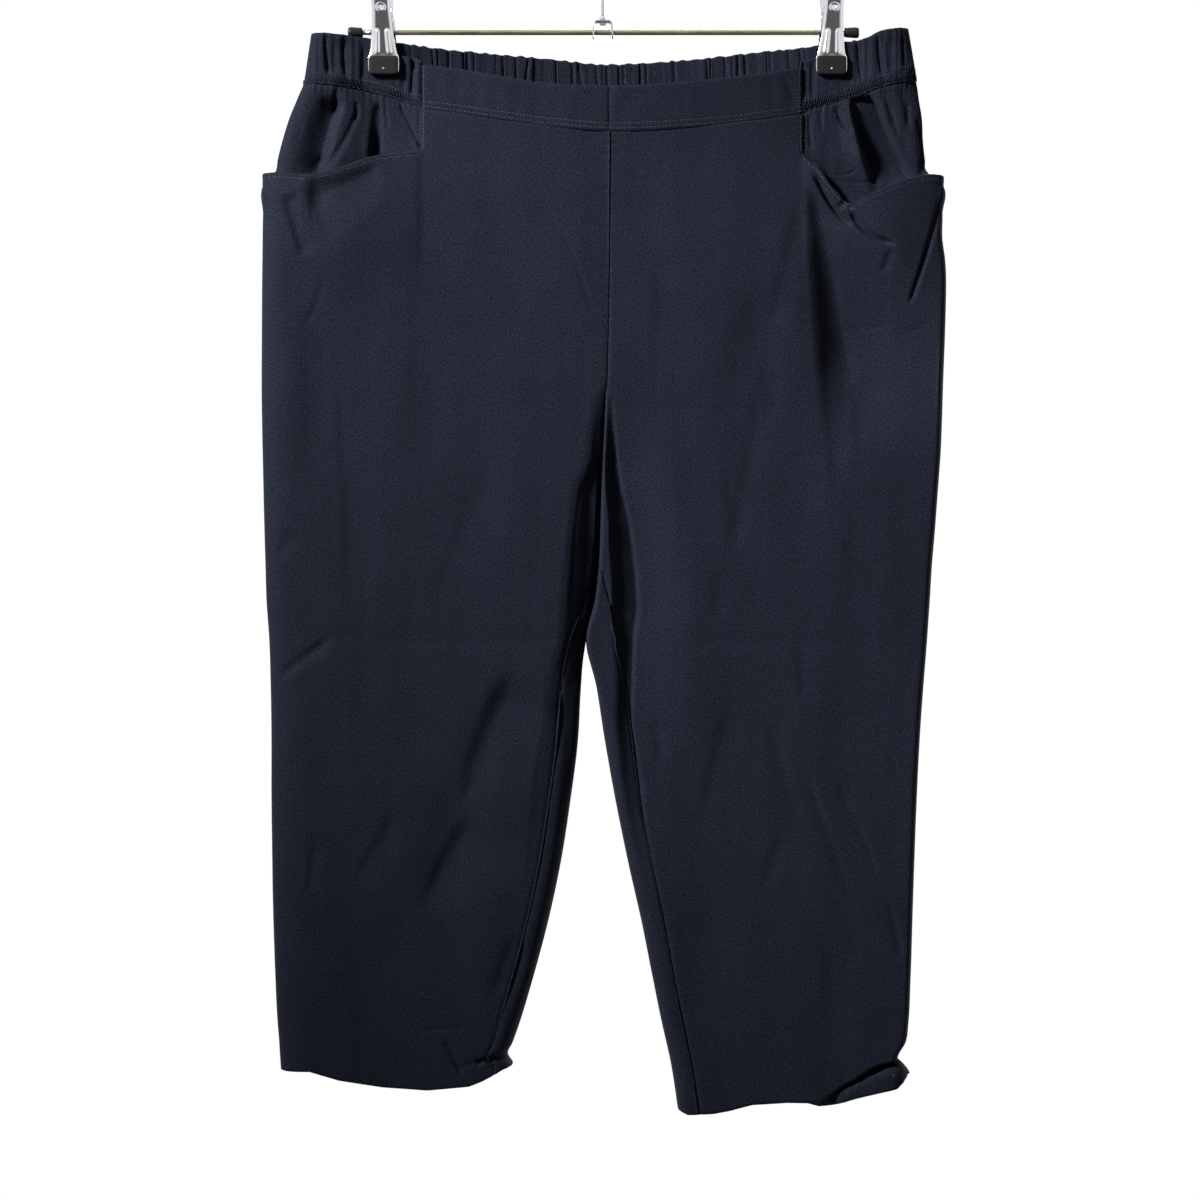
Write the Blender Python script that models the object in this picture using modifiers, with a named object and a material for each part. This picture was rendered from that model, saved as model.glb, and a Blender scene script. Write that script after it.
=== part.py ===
"""Women's pull-on capri pants on a two-clip rod hanger, modelled piece by piece.

Frame: +Z up, +X to the garment's left as it is seen from the front, -Y is the front.
The origin is the inner top of the hook, where the hanger rests on its rail.
All tables are in millimetres; MM turns them into metres.
"""
import math
from collections import namedtuple

import bmesh
import bpy
import numpy as np

MM = 0.001

# Driving sizes, mm
CLOTH = 1.2              # wall of a cloth panel
BAND = 2.2               # wall of the waistband and of the elastic casing
SEAM_GAP = 0.3           # gap between two sewn pieces
BAND_GAP = 0.8           # gap under the waistband, whose lower edge runs in short chords
ROD_Z = -80.0
ROD_RADIUS = 2.0
ROD_LEFT = -191.7
ROD_RIGHT = 192.5
CAP_LENGTH = 12.0
CAP_RADIUS = 4.4
WIRE_RADIUS = 1.6
HOOK_RADIUS = 20.6       # centre line of the hook's bend
CLIP_CENTRES = {"left": -175.2, "right": 182.4}

# Side folds of the waistband at its upper and its lower edge
BAND_FOLD_TOP = {"left": -233.4, "right": 244.4}
BAND_FOLD_BOTTOM = {"left": -239.4, "right": 251.4}

# Waist seams between the front panel and the side pieces
FRONT_EDGE = {"left": -144.8, "right": 159.2}
CROTCH_Z = -507.0
HIP_Z = -263.0           # below this the section is the lens of the table
MOUTH_TOP_Z = -192.6     # height where a pocket mouth meets the side seam
BAG_BOTTOM_Z = -316.0
YOKE_TOP_Z = -130.0
MOUTH_LIFT = 5.5         # how far the mouth of a pocket stands out
POCKET_DEPTH = 6.0       # how far the back of a pocket lies further in
OUTER_ZONE = 70.0        # width over which a section rounds off at the side seam
INNER_ZONE = 30.0        # the same at the inner leg
WAIST_ZONE = 12.0        # the same at the waist, where the fold is tighter
SEAM_RING = 0.006        # half of the gap at the inseam, as a share of the ring's inner quarter
WRAP_RING = 0.08         # how far the front runs round behind the side fold
BACK_RING_END = 5.89     # where the back stops before the side fold
HIP_STRETCH_Z = -300.0   # the front's top edge is fitted to the seam above this height
BACK_STRETCH_Z = -202.0  # the same for the back
HEM_STRETCH_Z = -860.0   # the hems are fitted below this height
COVERED_INSET = 0.9      # how much further in the yoke lies under the front
YOKE_INSET = 1.6         # how far in it lies above the pocket mouth
GATHER_HEIGHT = 1.5
PLATE = 1.0              # sheet metal of the clips
SADDLE = 1.2             # sheet metal of the hook's saddle

Section = namedtuple("Section", "z outer inner inseam front back")
LEFT_SECTIONS = [Section(*row) for row in (
    (-123.8, -240.0, 4.8, 0.0, 13.0, 13.0),
    (-135.0, -244.8, 4.8, 0.0, 14.0, 14.0),
    (-151.0, -251.2, 4.6, 0.0, 15.0, 15.0),
    (-167.0, -256.0, 4.5, 0.0, 16.0, 16.0),
    (-183.0, -260.0, 4.4, 0.0, 17.0, 17.0),
    (-192.6, -262.0, 4.3, 0.0, 17.5, 18.0),
    (-202.2, -270.6, 4.2, 0.0, 18.0, 19.0),
    (-227.0, -271.6, 4.1, 0.0, 18.5, 20.0),
    (-263.0, -272.0, 4.0, 0.0, 19.0, 22.0),
    (-311.0, -272.4, 3.6, 0.0, 19.5, 24.0),
    (-359.0, -272.5, 2.8, 0.0, 20.0, 25.0),
    (-399.0, -272.0, 2.4, 0.0, 20.5, 26.0),
    (-439.0, -271.2, 1.8, 0.0, 21.0, 26.0),
    (-479.0, -270.4, -0.8, 0.0, 21.0, 25.0),
    (-507.0, -269.6, -2.8, 0.0, 21.0, 24.0),
    (-535.0, -268.8, -6.2, 9.0, 20.5, 23.0),
    (-564.6, -266.8, -14.0, 13.0, 20.0, 22.0),
    (-607.0, -265.4, -17.8, 16.0, 20.0, 21.0),
    (-647.0, -264.8, -20.0, 17.0, 20.0, 21.0),
    (-695.0, -264.6, -26.0, 17.5, 20.0, 21.0),
    (-743.0, -264.0, -33.4, 17.5, 20.5, 21.0),
    (-791.0, -263.2, -43.6, 17.5, 21.0, 21.0),
    (-839.0, -261.6, -56.4, 17.5, 21.5, 21.5),
    (-871.0, -260.0, -66.0, 17.0, 22.0, 22.0),
    (-888.0, -258.6, -72.0, 16.0, 22.0, 22.0),
    (-898.0, -258.0, -76.0, 16.0, 22.0, 22.0),
    (-906.0, -257.4, -71.0, 16.0, 22.0, 22.0),
    (-943.0, -256.0, -71.0, 16.0, 22.0, 22.0),
)]
RIGHT_SECTIONS = [Section(*row) for row in (
    (-112.6, 248.8, 4.8, 0.0, 13.0, 13.0),
    (-123.8, 251.2, 4.8, 0.0, 13.0, 13.0),
    (-135.0, 252.8, 4.8, 0.0, 14.0, 14.0),
    (-151.0, 255.2, 4.6, 0.0, 15.0, 15.0),
    (-167.0, 256.0, 4.5, 0.0, 16.0, 16.0),
    (-183.0, 257.6, 4.4, 0.0, 17.0, 17.0),
    (-192.6, 258.8, 4.3, 0.0, 17.5, 18.0),
    (-202.2, 270.2, 4.2, 0.0, 18.0, 19.0),
    (-227.0, 271.2, 4.1, 0.0, 18.5, 20.0),
    (-247.0, 271.0, 4.0, 0.0, 19.0, 21.0),
    (-263.0, 273.0, 4.0, 0.0, 19.0, 22.0),
    (-311.0, 273.2, 3.6, 0.0, 19.5, 24.0),
    (-359.0, 272.0, 2.8, 0.0, 20.0, 25.0),
    (-399.0, 270.4, 2.4, 0.0, 20.5, 26.0),
    (-439.0, 267.6, 1.8, 0.0, 21.0, 26.0),
    (-479.0, 264.8, -0.8, 0.0, 21.0, 25.0),
    (-507.0, 262.4, -2.8, 0.0, 21.0, 24.0),
    (-535.0, 260.8, -5.6, 11.0, 20.5, 23.0),
    (-564.6, 258.8, -12.6, 24.0, 20.0, 22.0),
    (-607.0, 255.2, -4.8, 23.6, 20.0, 21.0),
    (-647.0, 252.4, 1.4, 22.4, 20.0, 21.0),
    (-695.0, 250.0, 10.0, 19.6, 20.0, 21.0),
    (-743.0, 248.2, 19.8, 18.6, 20.5, 21.0),
    (-791.0, 246.8, 30.6, 17.8, 21.0, 21.0),
    (-839.0, 245.2, 40.2, 16.5, 21.5, 21.5),
    (-871.0, 243.6, 46.6, 16.4, 22.0, 22.0),
    (-886.0, 241.6, 50.0, 16.0, 22.0, 22.0),
    (-901.0, 235.0, 53.4, 16.0, 22.0, 22.0),
    (-912.0, 243.0, 55.4, 16.0, 22.0, 22.0),
    (-943.0, 242.0, 60.0, 16.0, 22.0, 22.0),
)]
SECTIONS = {"left": LEFT_SECTIONS, "right": RIGHT_SECTIONS}

# Waist: half depth of the flattened opening, and the heights of its edges, along X
Waist = namedtuple("Waist", "x half_depth")
WAIST = [Waist(*row) for row in (
    (-250.0, 7.5), (-210.0, 7.5), (-190.0, 3.3), (-175.0, 3.1), (-160.0, 3.3), (-144.0, 6.0),
    (-100.0, 11.0), (0.0, 16.0), (100.0, 12.0), (152.0, 6.0), (168.0, 3.3), (182.0, 3.1),
    (198.0, 3.3), (220.0, 7.5), (260.0, 7.5),
)]
Edge = namedtuple("Edge", "x z")
BACK_TOP = [Edge(*row) for row in (
    (-234.0, -82.2), (-202.4, -85.0), (-165.6, -88.8), (-124.0, -93.4), (-84.8, -96.4),
    (-44.0, -99.6), (0.0, -103.8), (39.2, -102.4), (77.6, -99.8), (127.2, -95.0),
    (160.0, -92.6), (198.4, -88.0), (214.4, -85.6), (244.0, -78.2),
)]
BACK_BOTTOM = [Edge(*row) for row in (
    (-240.0, -122.0), (-165.0, -129.0), (-85.0, -140.0), (0.0, -148.0), (78.0, -143.0),
    (160.0, -133.0), (250.0, -118.0),
)]
SIDE_TOP = {
    "left": [Edge(*row) for row in (
        (-234.0, -82.2), (-203.0, -84.8), (-186.0, -87.0), (-175.0, -92.6), (-164.0, -99.0),
        (-152.0, -102.0), (-144.5, -105.4),
    )],
    "right": [Edge(*row) for row in (
        (159.5, -105.0), (172.0, -101.0), (182.4, -94.0), (194.0, -89.0), (206.0, -88.6),
        (218.0, -85.4), (227.0, -81.4), (244.0, -78.2),
    )],
}
SIDE_BOTTOM = {
    "left": [Edge(*row) for row in (
        (-240.0, -122.2), (-206.0, -125.4), (-190.0, -128.4), (-174.0, -132.0),
        (-158.0, -137.4), (-144.5, -141.6), (-138.0, -146.6),
    )],
    "right": [Edge(*row) for row in (
        (152.0, -150.6), (159.5, -146.0), (170.0, -142.6), (186.0, -137.6), (206.0, -131.6),
        (222.0, -126.0), (250.0, -119.8),
    )],
}
FRONT_TOP = [Edge(*row) for row in (
    (-144.5, -108.0), (-121.6, -110.6), (-92.0, -116.2), (-52.8, -123.0), (2.4, -126.2),
    (39.2, -125.0), (61.6, -123.2), (100.0, -118.8), (128.8, -115.2), (159.0, -109.6),
)]
FRONT_BOTTOM = [Edge(*row) for row in (
    (-144.5, -143.2), (-105.6, -149.0), (-50.4, -157.4), (4.8, -162.4), (59.2, -160.2),
    (113.6, -154.6), (159.0, -147.2),
)]
MOUTH = {
    "left": [Edge(*row) for row in (
        (-272.0, -194.8), (-260.8, -195.0), (-232.8, -197.0), (-206.4, -190.6), (-184.0, -182.4),
        (-146.5, -177.4),
    )],
    "right": [Edge(*row) for row in (
        (161.0, -180.4), (164.0, -185.4), (172.8, -193.2), (183.2, -210.6), (197.6, -221.2),
        (212.0, -213.2), (228.0, -205.6), (243.2, -200.4), (259.2, -196.8), (272.0, -196.8),
    )],
}
HEM = {
    ("left", "front"): [Edge(*row) for row in (
        (-257.0, -909.0), (-232.0, -908.4), (-208.8, -915.4), (-174.4, -920.8), (-139.0, -923.2),
        (-106.4, -920.0), (-96.4, -916.2), (-77.6, -907.0), (-70.0, -904.6),
    )],
    ("left", "back"): [Edge(*row) for row in (
        (-257.0, -909.0), (-208.8, -916.0), (-139.0, -924.0), (-100.0, -918.0), (-70.0, -904.0),
    )],
    ("right", "front"): [Edge(*row) for row in (
        (56.0, -940.4), (63.2, -943.0), (84.0, -942.0), (97.6, -939.8), (117.6, -934.8),
        (146.4, -933.0), (172.0, -933.4), (188.8, -920.2), (200.4, -914.6), (215.2, -907.6),
        (227.2, -903.4), (242.0, -900.0),
    )],
    ("right", "back"): [Edge(*row) for row in (
        (56.0, -941.0), (84.0, -943.0), (117.6, -938.0), (176.0, -940.4), (188.8, -934.6),
        (199.6, -930.6), (220.8, -925.4), (232.8, -922.6), (243.2, -913.0),
    )],
}

# Largest folds: a soft ridge (height over 0) or trough along a line on one face
Fold = namedtuple("Fold", "x0 z0 x1 z1 width height")
FRONT_FOLDS = [Fold(*row) for row in (
    (-74.0, -600.0, -106.0, -679.0, 15.0, -4.0),
    (-106.0, -679.0, -142.0, -785.0, 18.0, -4.5),
    (-140.0, -650.0, -176.0, -790.0, 20.0, 2.5),
    (-250.0, -215.0, -248.0, -311.0, 12.0, -2.0),
    (168.0, -215.0, 178.0, -400.0, 16.0, -3.5),
    (126.0, -295.0, 106.0, -370.0, 14.0, -2.0),
    (60.0, -640.0, 96.0, -820.0, 18.0, -2.5),
    (190.0, -590.0, 204.0, -760.0, 22.0, -2.5),
)]
BACK_FOLDS = [Fold(*row) for row in (
    (-40.0, -430.0, -150.0, -540.0, 18.0, -4.5),
    (-30.0, -480.0, -120.0, -610.0, 16.0, -4.0),
    (44.0, -440.0, 150.0, -520.0, 18.0, -4.5),
    (30.0, -490.0, 110.0, -620.0, 16.0, -3.5),
    (-170.0, -640.0, -120.0, -840.0, 20.0, -3.0),
    (110.0, -660.0, 160.0, -850.0, 20.0, -3.0),
    (-70.0, -160.0, -84.0, -260.0, 12.0, -2.5),
    (62.0, -158.0, 70.0, -250.0, 12.0, -2.5),
    (-160.0, -150.0, -172.0, -240.0, 12.0, -2.0),
    (150.0, -150.0, 160.0, -235.0, 12.0, -2.0),
)]
YOKE_FOLDS = [Fold(*row) for row in (
    (-222.0, -131.0, -246.0, -191.0, 11.0, -3.5),
    (-186.0, -140.0, -174.0, -181.0, 7.0, -2.5),
    (-166.0, -136.0, -150.0, -172.0, 6.0, -2.0),
    (202.0, -140.0, 224.0, -195.0, 11.0, -3.5),
    (180.0, -150.0, 182.0, -182.0, 7.0, -1.5),
)]

# Gathers of the elastic casing: (first x, last x, number)
BACK_GATHERS = (-232.0, 242.0, 50)
SIDE_GATHERS = {"left": (-232.0, -148.0, 8), "right": (164.0, 242.0, 9)}

# Heights of the panels' rows, waist to hem, and how many faces each panel has across
PANEL_HEIGHTS = (-140.0, -165.0, -190.0, -202.0, -227.0, -263.0, -300.0, -340.0, -380.0, -425.0,
                 -465.0, -490.0, -507.0, -525.0, -550.0, -580.0, -625.0, -675.0, -730.0, -790.0,
                 -860.0, -884.0, -902.0, -920.0)
YOKE_ROWS = 12

ClipRow = namedtuple("ClipRow", "z half_width out")
CLIP_ROWS = [ClipRow(*row) for row in (
    (-50.0, 4.0, 11.0), (-52.0, 6.6, 10.4), (-56.0, 7.4, 9.2), (-62.0, 7.4, 7.8),
    (-70.0, 7.8, 6.4), (-80.0, 8.6, 6.0), (-90.0, 9.6, 6.0), (-99.0, 10.8, 6.4),
    (-104.0, 12.0, 6.7), (-110.0, 12.0, 6.7), (-113.6, 11.4, 6.7), (-115.0, 9.8, 6.7),
)]
PAD_SIZE = (19.4, 3.8, 12.0)
PAD_Z = -107.0
PAD_Y = 5.3              # middle of a pad from the cloth's middle plane
EYE_RADIUS = 1.7
EYE_Z = -62.0
SPRING_RADIUS = 4.6
SPRING_HALF_LENGTH = 6.0
BORE_RADIUS = 2.35       # hole for the rod in the springs and the saddle


def clear_scene():
    """Remove every object that the file starts with."""
    for old in list(bpy.data.objects):
        bpy.data.objects.remove(old, do_unlink=True)


def make_collection(name):
    """Return a new collection linked to the scene."""
    collection = bpy.data.collections.new(name)
    bpy.context.scene.collection.children.link(collection)
    return collection


def make_material(name, color, roughness, metallic=0.0):
    """Return a Principled material."""
    material = bpy.data.materials.new(name)
    material.use_nodes = True
    shader = material.node_tree.nodes["Principled BSDF"]
    shader.inputs["Base Color"].default_value = (*color, 1.0)
    shader.inputs["Roughness"].default_value = roughness
    shader.inputs["Metallic"].default_value = metallic
    return material


def smooth_at(at, stations, values):
    """Read a smooth curve through (station, value) points, flat beyond both ends."""
    order = np.argsort(stations)
    known = np.asarray(stations, dtype=float)[order]
    value = np.asarray(values, dtype=float)[order]
    slope = np.gradient(value, known)
    at = np.clip(at, known[0], known[-1])
    cell = np.clip(np.searchsorted(known, at, side="right") - 1, 0, len(known) - 2)
    span = known[cell + 1] - known[cell]
    t = (at - known[cell]) / span
    start = (2 * t**3 - 3 * t**2 + 1) * value[cell] + (t**3 - 2 * t**2 + t) * span * slope[cell]
    end = (3 * t**2 - 2 * t**3) * value[cell + 1] + (t**3 - t**2) * span * slope[cell + 1]
    return start + end


def read(table, field, at):
    """Read one named column of a table at a height or a place along X."""
    stations = [row[0] for row in table]
    return smooth_at(at, stations, [getattr(row, field) for row in table])


def read_straight(table, field, at):
    """Read one named column by straight lines, for an edge with corners."""
    rows = sorted(table)
    return np.interp(at, [row[0] for row in rows], [getattr(row, field) for row in rows])


def step(value, low, high):
    """Smooth step from 0 at low to 1 at high."""
    t = np.clip((value - low) / (high - low), 0.0, 1.0)
    return t * t * (3.0 - 2.0 * t)


def round_end(distance, zone):
    """Quarter ellipse that rises from 0 at an edge to 1 at the end of its zone."""
    rest = 1.0 - np.clip(distance / zone, 0.0, 1.0)
    return np.sqrt(np.maximum(1.0 - rest * rest, 0.0))


def fold_height(folds, x, z):
    """Sum of soft ridges and troughs, each fading out at its two ends."""
    total = np.zeros_like(x)
    for fold in folds:
        along = np.array((fold.x1 - fold.x0, fold.z1 - fold.z0))
        length = math.hypot(*along)
        along = along / length
        t = ((x - fold.x0) * along[0] + (z - fold.z0) * along[1]) / length
        side = (x - fold.x0) * along[1] - (z - fold.z0) * along[0]
        ends = step(t, -0.15, 0.25) * (1.0 - step(t, 0.75, 1.15))
        total = total + fold.height * ends * np.exp(-((side / fold.width) ** 2))
    return total


def leg_outline(leg, z, front_only=False):
    """Outer and inner silhouette of a half of the garment at a height."""
    table = SECTIONS[leg]
    outer_z = np.minimum(z, HIP_Z + 58.0) if front_only else z
    inward = 1.0 if leg == "left" else -1.0
    outer = read(table, "outer", outer_z)
    inner = read(table, "inner", z) - inward * SEAM_GAP / 2.0
    return outer, inner


def base_depth(leg, face, x, z, outer, inner):
    """Distance of the outer surface from the middle plane: waist plan into hip and leg lens."""
    lens = read(SECTIONS[leg], face, z)
    lens = lens * round_end(np.abs(x - outer), OUTER_ZONE)
    recess = step(-z, 350.0, -CROTCH_Z) if face == "front" else step(-z, 400.0, -CROTCH_Z)
    lens = lens * (1.0 - recess * (1.0 - round_end(np.abs(x - inner), INNER_ZONE)))
    waist = read(WAIST, "half_depth", x) * round_end(np.abs(x - outer), WAIST_ZONE)
    blend = step(-z, 120.0, -HIP_Z)
    return (1.0 - blend) * waist + blend * lens


def ring_points(leg, ring, z, front_only=False):
    """Points of a half's outer surface.

    ring runs round the half: 0 side fold, 1 to 2 flat front, 3 inner edge, 4 to 5 flat back,
    6 side fold again. A value just under 0 lies behind the side fold.
    """
    outer, inner = leg_outline(leg, z, front_only)
    inward = 1.0 if leg == "left" else -1.0
    width = (inner - outer) * inward
    at_back = (ring > 3.0) | (ring < 0.0)
    along = np.where(ring > 3.0, 6.0 - ring, np.abs(ring))
    outer_part = OUTER_ZONE * (1.0 - np.cos(np.minimum(along, 1.0) * math.pi / 2))
    middle = (np.clip(along, 1.0, 2.0) - 1.0) * (width - OUTER_ZONE - INNER_ZONE)
    inner_angle = (3.0 - np.maximum(along, 2.0)) * math.pi / 2
    inner_part = INNER_ZONE * np.cos(inner_angle)
    x = outer + inward * (outer_part + middle + inner_part)
    front = base_depth(leg, "front", x, z, outer, inner)
    back = base_depth(leg, "back", x, z, outer, inner)
    edge = round_end(np.abs(x - outer), 25.0) * round_end(np.abs(x - inner), 25.0)
    front = front + fold_height(FRONT_FOLDS, x, z) * edge
    back = back + fold_height(BACK_FOLDS, x, z) * edge
    y = np.where(at_back, back, -front)
    return np.stack((x, y, z), axis=-1)


def inseam_ring(leg, z):
    """Ring value of the inseam, which lies on the front face near the inner edge."""
    offset = read_straight(SECTIONS[leg], "inseam", z)
    angle = np.arccos(1.0 - np.clip(offset / INNER_ZONE, 0.0, 1.0))
    return 3.0 - angle * 2.0 / math.pi


def meet_edge(z, end, edge, stretch_end):
    """Move the stretch between an end row and stretch_end so that the end row meets an edge."""
    share = np.clip((z - stretch_end) / (end - stretch_end), 0.0, 1.0)
    return z + (edge - end) * share


def pocket_swell(leg, x, z, start):
    """Share of a pocket's fullness: most in mid mouth, from start down to none at the bag's end."""
    side_seam = -266.0 if leg == "left" else 266.0
    seam = FRONT_EDGE[leg]
    t = np.clip((x - seam) / (side_seam - seam), 0.0, 1.0)
    return np.sin(math.pi * t) ** 0.7 * (1.0 - step(-z, start, -BAG_BOTTOM_Z))


def front_panel_points(leg, columns, heights):
    """Front panel: from just behind the side fold to the centre seam, then to the inseam."""
    z = np.repeat(np.array(heights)[:, None], len(columns), axis=1)
    share = np.repeat(np.array(columns)[None, :], len(heights), axis=0)
    ring_end = np.minimum(inseam_ring(leg, z) - SEAM_RING, 3.0 - 2.0 * SEAM_RING)
    ring_end = np.where(z > CROTCH_Z + 12.0, 3.0, ring_end)
    ring_start = -WRAP_RING * step(-z, 205.0, 225.0)
    ring = ring_start + (share / 3.0) * (ring_end - ring_start)
    x = ring_points(leg, ring, z, True)[..., 0]
    inside = (x > FRONT_EDGE["left"]) & (x < FRONT_EDGE["right"])
    top_band = read(FRONT_BOTTOM, "z", x) - BAND_GAP
    top = np.where(inside, top_band, read_straight(MOUTH[leg], "z", x))
    hem = read_straight(HEM[leg, "front"], "z", x)
    z = meet_edge(z, heights[0], top[:1], HIP_STRETCH_Z)
    z = meet_edge(z, heights[-1], hem[-1:], HEM_STRETCH_Z)
    points = ring_points(leg, ring, z, True)
    points[..., 1] -= MOUTH_LIFT * pocket_swell(leg, points[..., 0], z, 215.0)
    return points


def back_panel_points(leg, columns, heights):
    """Back panel: centre seam to side fold above the crotch, inseam to side fold below it."""
    z = np.repeat(np.array(heights)[:, None], len(columns), axis=1)
    share = np.repeat(np.array(columns)[None, :], len(heights), axis=0)
    ring_start = np.minimum(inseam_ring(leg, z) + SEAM_RING, 3.0 + 2.0 * SEAM_RING)
    ring_start = np.where(z > CROTCH_Z + 12.0, 3.0001, ring_start)
    ring = ring_start + share * (BACK_RING_END - ring_start)
    x = ring_points(leg, ring, z)[..., 0]
    top = read(BACK_BOTTOM, "z", x) - BAND_GAP
    front_hem = read_straight(HEM[leg, "front"], "z", x)
    back_hem = read_straight(HEM[leg, "back"], "z", x)
    hem = np.where(ring < 3.0, front_hem, back_hem)
    z = meet_edge(z, heights[0], top[:1], BACK_STRETCH_Z)
    z = meet_edge(z, heights[-1], hem[-1:], HEM_STRETCH_Z)
    return ring_points(leg, ring, z)


def yoke_points(leg, columns, rows):
    """Side piece: from the casing down behind the pocket mouth to the bag's bottom."""
    heights = np.linspace(YOKE_TOP_Z, BAG_BOTTOM_Z, rows)
    start = np.repeat(heights[:, None], len(columns), axis=1)
    share = np.repeat(np.array(columns)[None, :], rows, axis=0)
    inward = 1.0 if leg == "left" else -1.0
    z = start
    for _ in range(2):
        below = step(-z, -MOUTH_TOP_Z, -MOUTH_TOP_Z + 10.0)
        outer = leg_outline(leg, z)[0] + inward * 3.2 * below
        inner_end = FRONT_EDGE[leg] + inward * 5.0
        x = outer + (inner_end - outer) * share
        top = read_straight(SIDE_BOTTOM[leg], "z", x[:1]) - BAND_GAP
        z = meet_edge(start, YOKE_TOP_Z, top, MOUTH_TOP_Z - 10.0)
    inner = np.full_like(x, 1000.0 * inward)
    depth = base_depth(leg, "front", x, z, outer, inner)
    covered = step(-z, 176.0, 216.0)
    folds = fold_height(YOKE_FOLDS, x, z) + covered * fold_height(FRONT_FOLDS, x, z)
    depth = depth + folds * round_end(np.abs(x - outer), 20.0)
    pocket = COVERED_INSET + POCKET_DEPTH * pocket_swell(leg, x, z, -HIP_Z)
    inset = YOKE_INSET + covered * pocket
    depth = depth - inset * round_end(np.abs(x - outer), 6.0)
    return np.stack((x, -depth, z), axis=-1)


def gather_wave(x, first, last, count):
    """Irregular gathers: a raised cosine whose phase runs unevenly along the casing."""
    phase = (x - first) / (last - first) * count
    phase = phase + 0.22 * np.sin(0.9 * phase) + 0.13 * np.sin(2.3 * phase + 1.0)
    size = 0.8 + 0.2 * np.sin(1.7 * phase)
    return size * (0.5 - 0.5 * np.cos(2.0 * math.pi * phase))


def band_fold(x, share):
    """Side fold of the waistband nearest to x: it leans out from its top to its lower edge."""
    left = BAND_FOLD_TOP["left"] + (BAND_FOLD_BOTTOM["left"] - BAND_FOLD_TOP["left"]) * share
    right = BAND_FOLD_TOP["right"] + (BAND_FOLD_BOTTOM["right"] - BAND_FOLD_TOP["right"]) * share
    return np.where(x < 0.0, left, right)


def band_points(x, side, top, bottom, gathers, rows):
    """Strip of waistband between two edges, standing out by the waist's half depth."""
    share = np.linspace(0.0, 1.0, rows)[:, None]
    z = top + (bottom - top) * share
    lean = (band_fold(x, share) - band_fold(x, 1.0)) * step(np.abs(x), 150.0, 235.0)
    x = x + lean
    edge = band_fold(x, share)
    depth = read(WAIST, "half_depth", x) * round_end(np.abs(x - edge), WAIST_ZONE)
    if gathers:
        pressed = 1.0 - 0.8 * np.exp(-(((x - CLIP_CENTRES["left"]) / 16.0) ** 4))
        pressed = pressed * (1.0 - 0.8 * np.exp(-(((x - CLIP_CENTRES["right"]) / 16.0) ** 4)))
        wave = gather_wave(x, *gathers) - 1.0 + 0.2 * (1.0 - pressed)
        depth = depth + GATHER_HEIGHT * pressed * wave * round_end(np.abs(x - edge), 10.0)
    return np.stack((x, side * depth, z), axis=-1)


def add_sheet(name, points, flip, thickness, material, collection):
    """Make a cloth wall: a grid of faces on the outer surface, thickened inwards."""
    rows, columns = points.shape[:2]
    index = np.arange(rows * columns).reshape(rows, columns)
    quads = np.stack((index[:-1, :-1], index[:-1, 1:], index[1:, 1:], index[1:, :-1]), axis=-1)
    quads = quads.reshape(-1, 4)
    if flip:
        quads = quads[:, ::-1]
    mesh = bpy.data.meshes.new(name)
    mesh.from_pydata((points.reshape(-1, 3) * MM).tolist(), [], quads.tolist())
    mesh.shade_smooth()
    sheet = bpy.data.objects.new(name, mesh)
    collection.objects.link(sheet)
    wall = sheet.modifiers.new("wall", "SOLIDIFY")
    wall.thickness = thickness * MM
    wall.offset = -1.0
    mesh.materials.append(material)
    return sheet


def add_main_panels(cloth, collection):
    """Two fronts and two backs."""
    front_columns = np.concatenate((
        np.linspace(0.0, 1.0, 6)[:-1], np.linspace(1.0, 2.0, 8)[:-1], np.linspace(2.0, 3.0, 6)))
    back_columns = np.linspace(0.0, 1.0, 24)
    for leg in ("left", "right"):
        flip = leg == "left"
        front = front_panel_points(leg, front_columns, PANEL_HEIGHTS)
        add_sheet("front_" + leg, front, flip, CLOTH, cloth, collection)
        back = back_panel_points(leg, back_columns, PANEL_HEIGHTS)
        add_sheet("back_" + leg, back, flip, CLOTH, cloth, collection)


def add_yokes(cloth, collection):
    """Side pieces whose lower half is the back of each pocket."""
    columns = 1.0 - np.cos(np.linspace(0.0, math.pi / 2, 13))
    for leg in ("left", "right"):
        points = yoke_points(leg, columns, YOKE_ROWS)
        add_sheet("hip_yoke_" + leg, points, leg == "left", CLOTH, cloth, collection)


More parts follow.
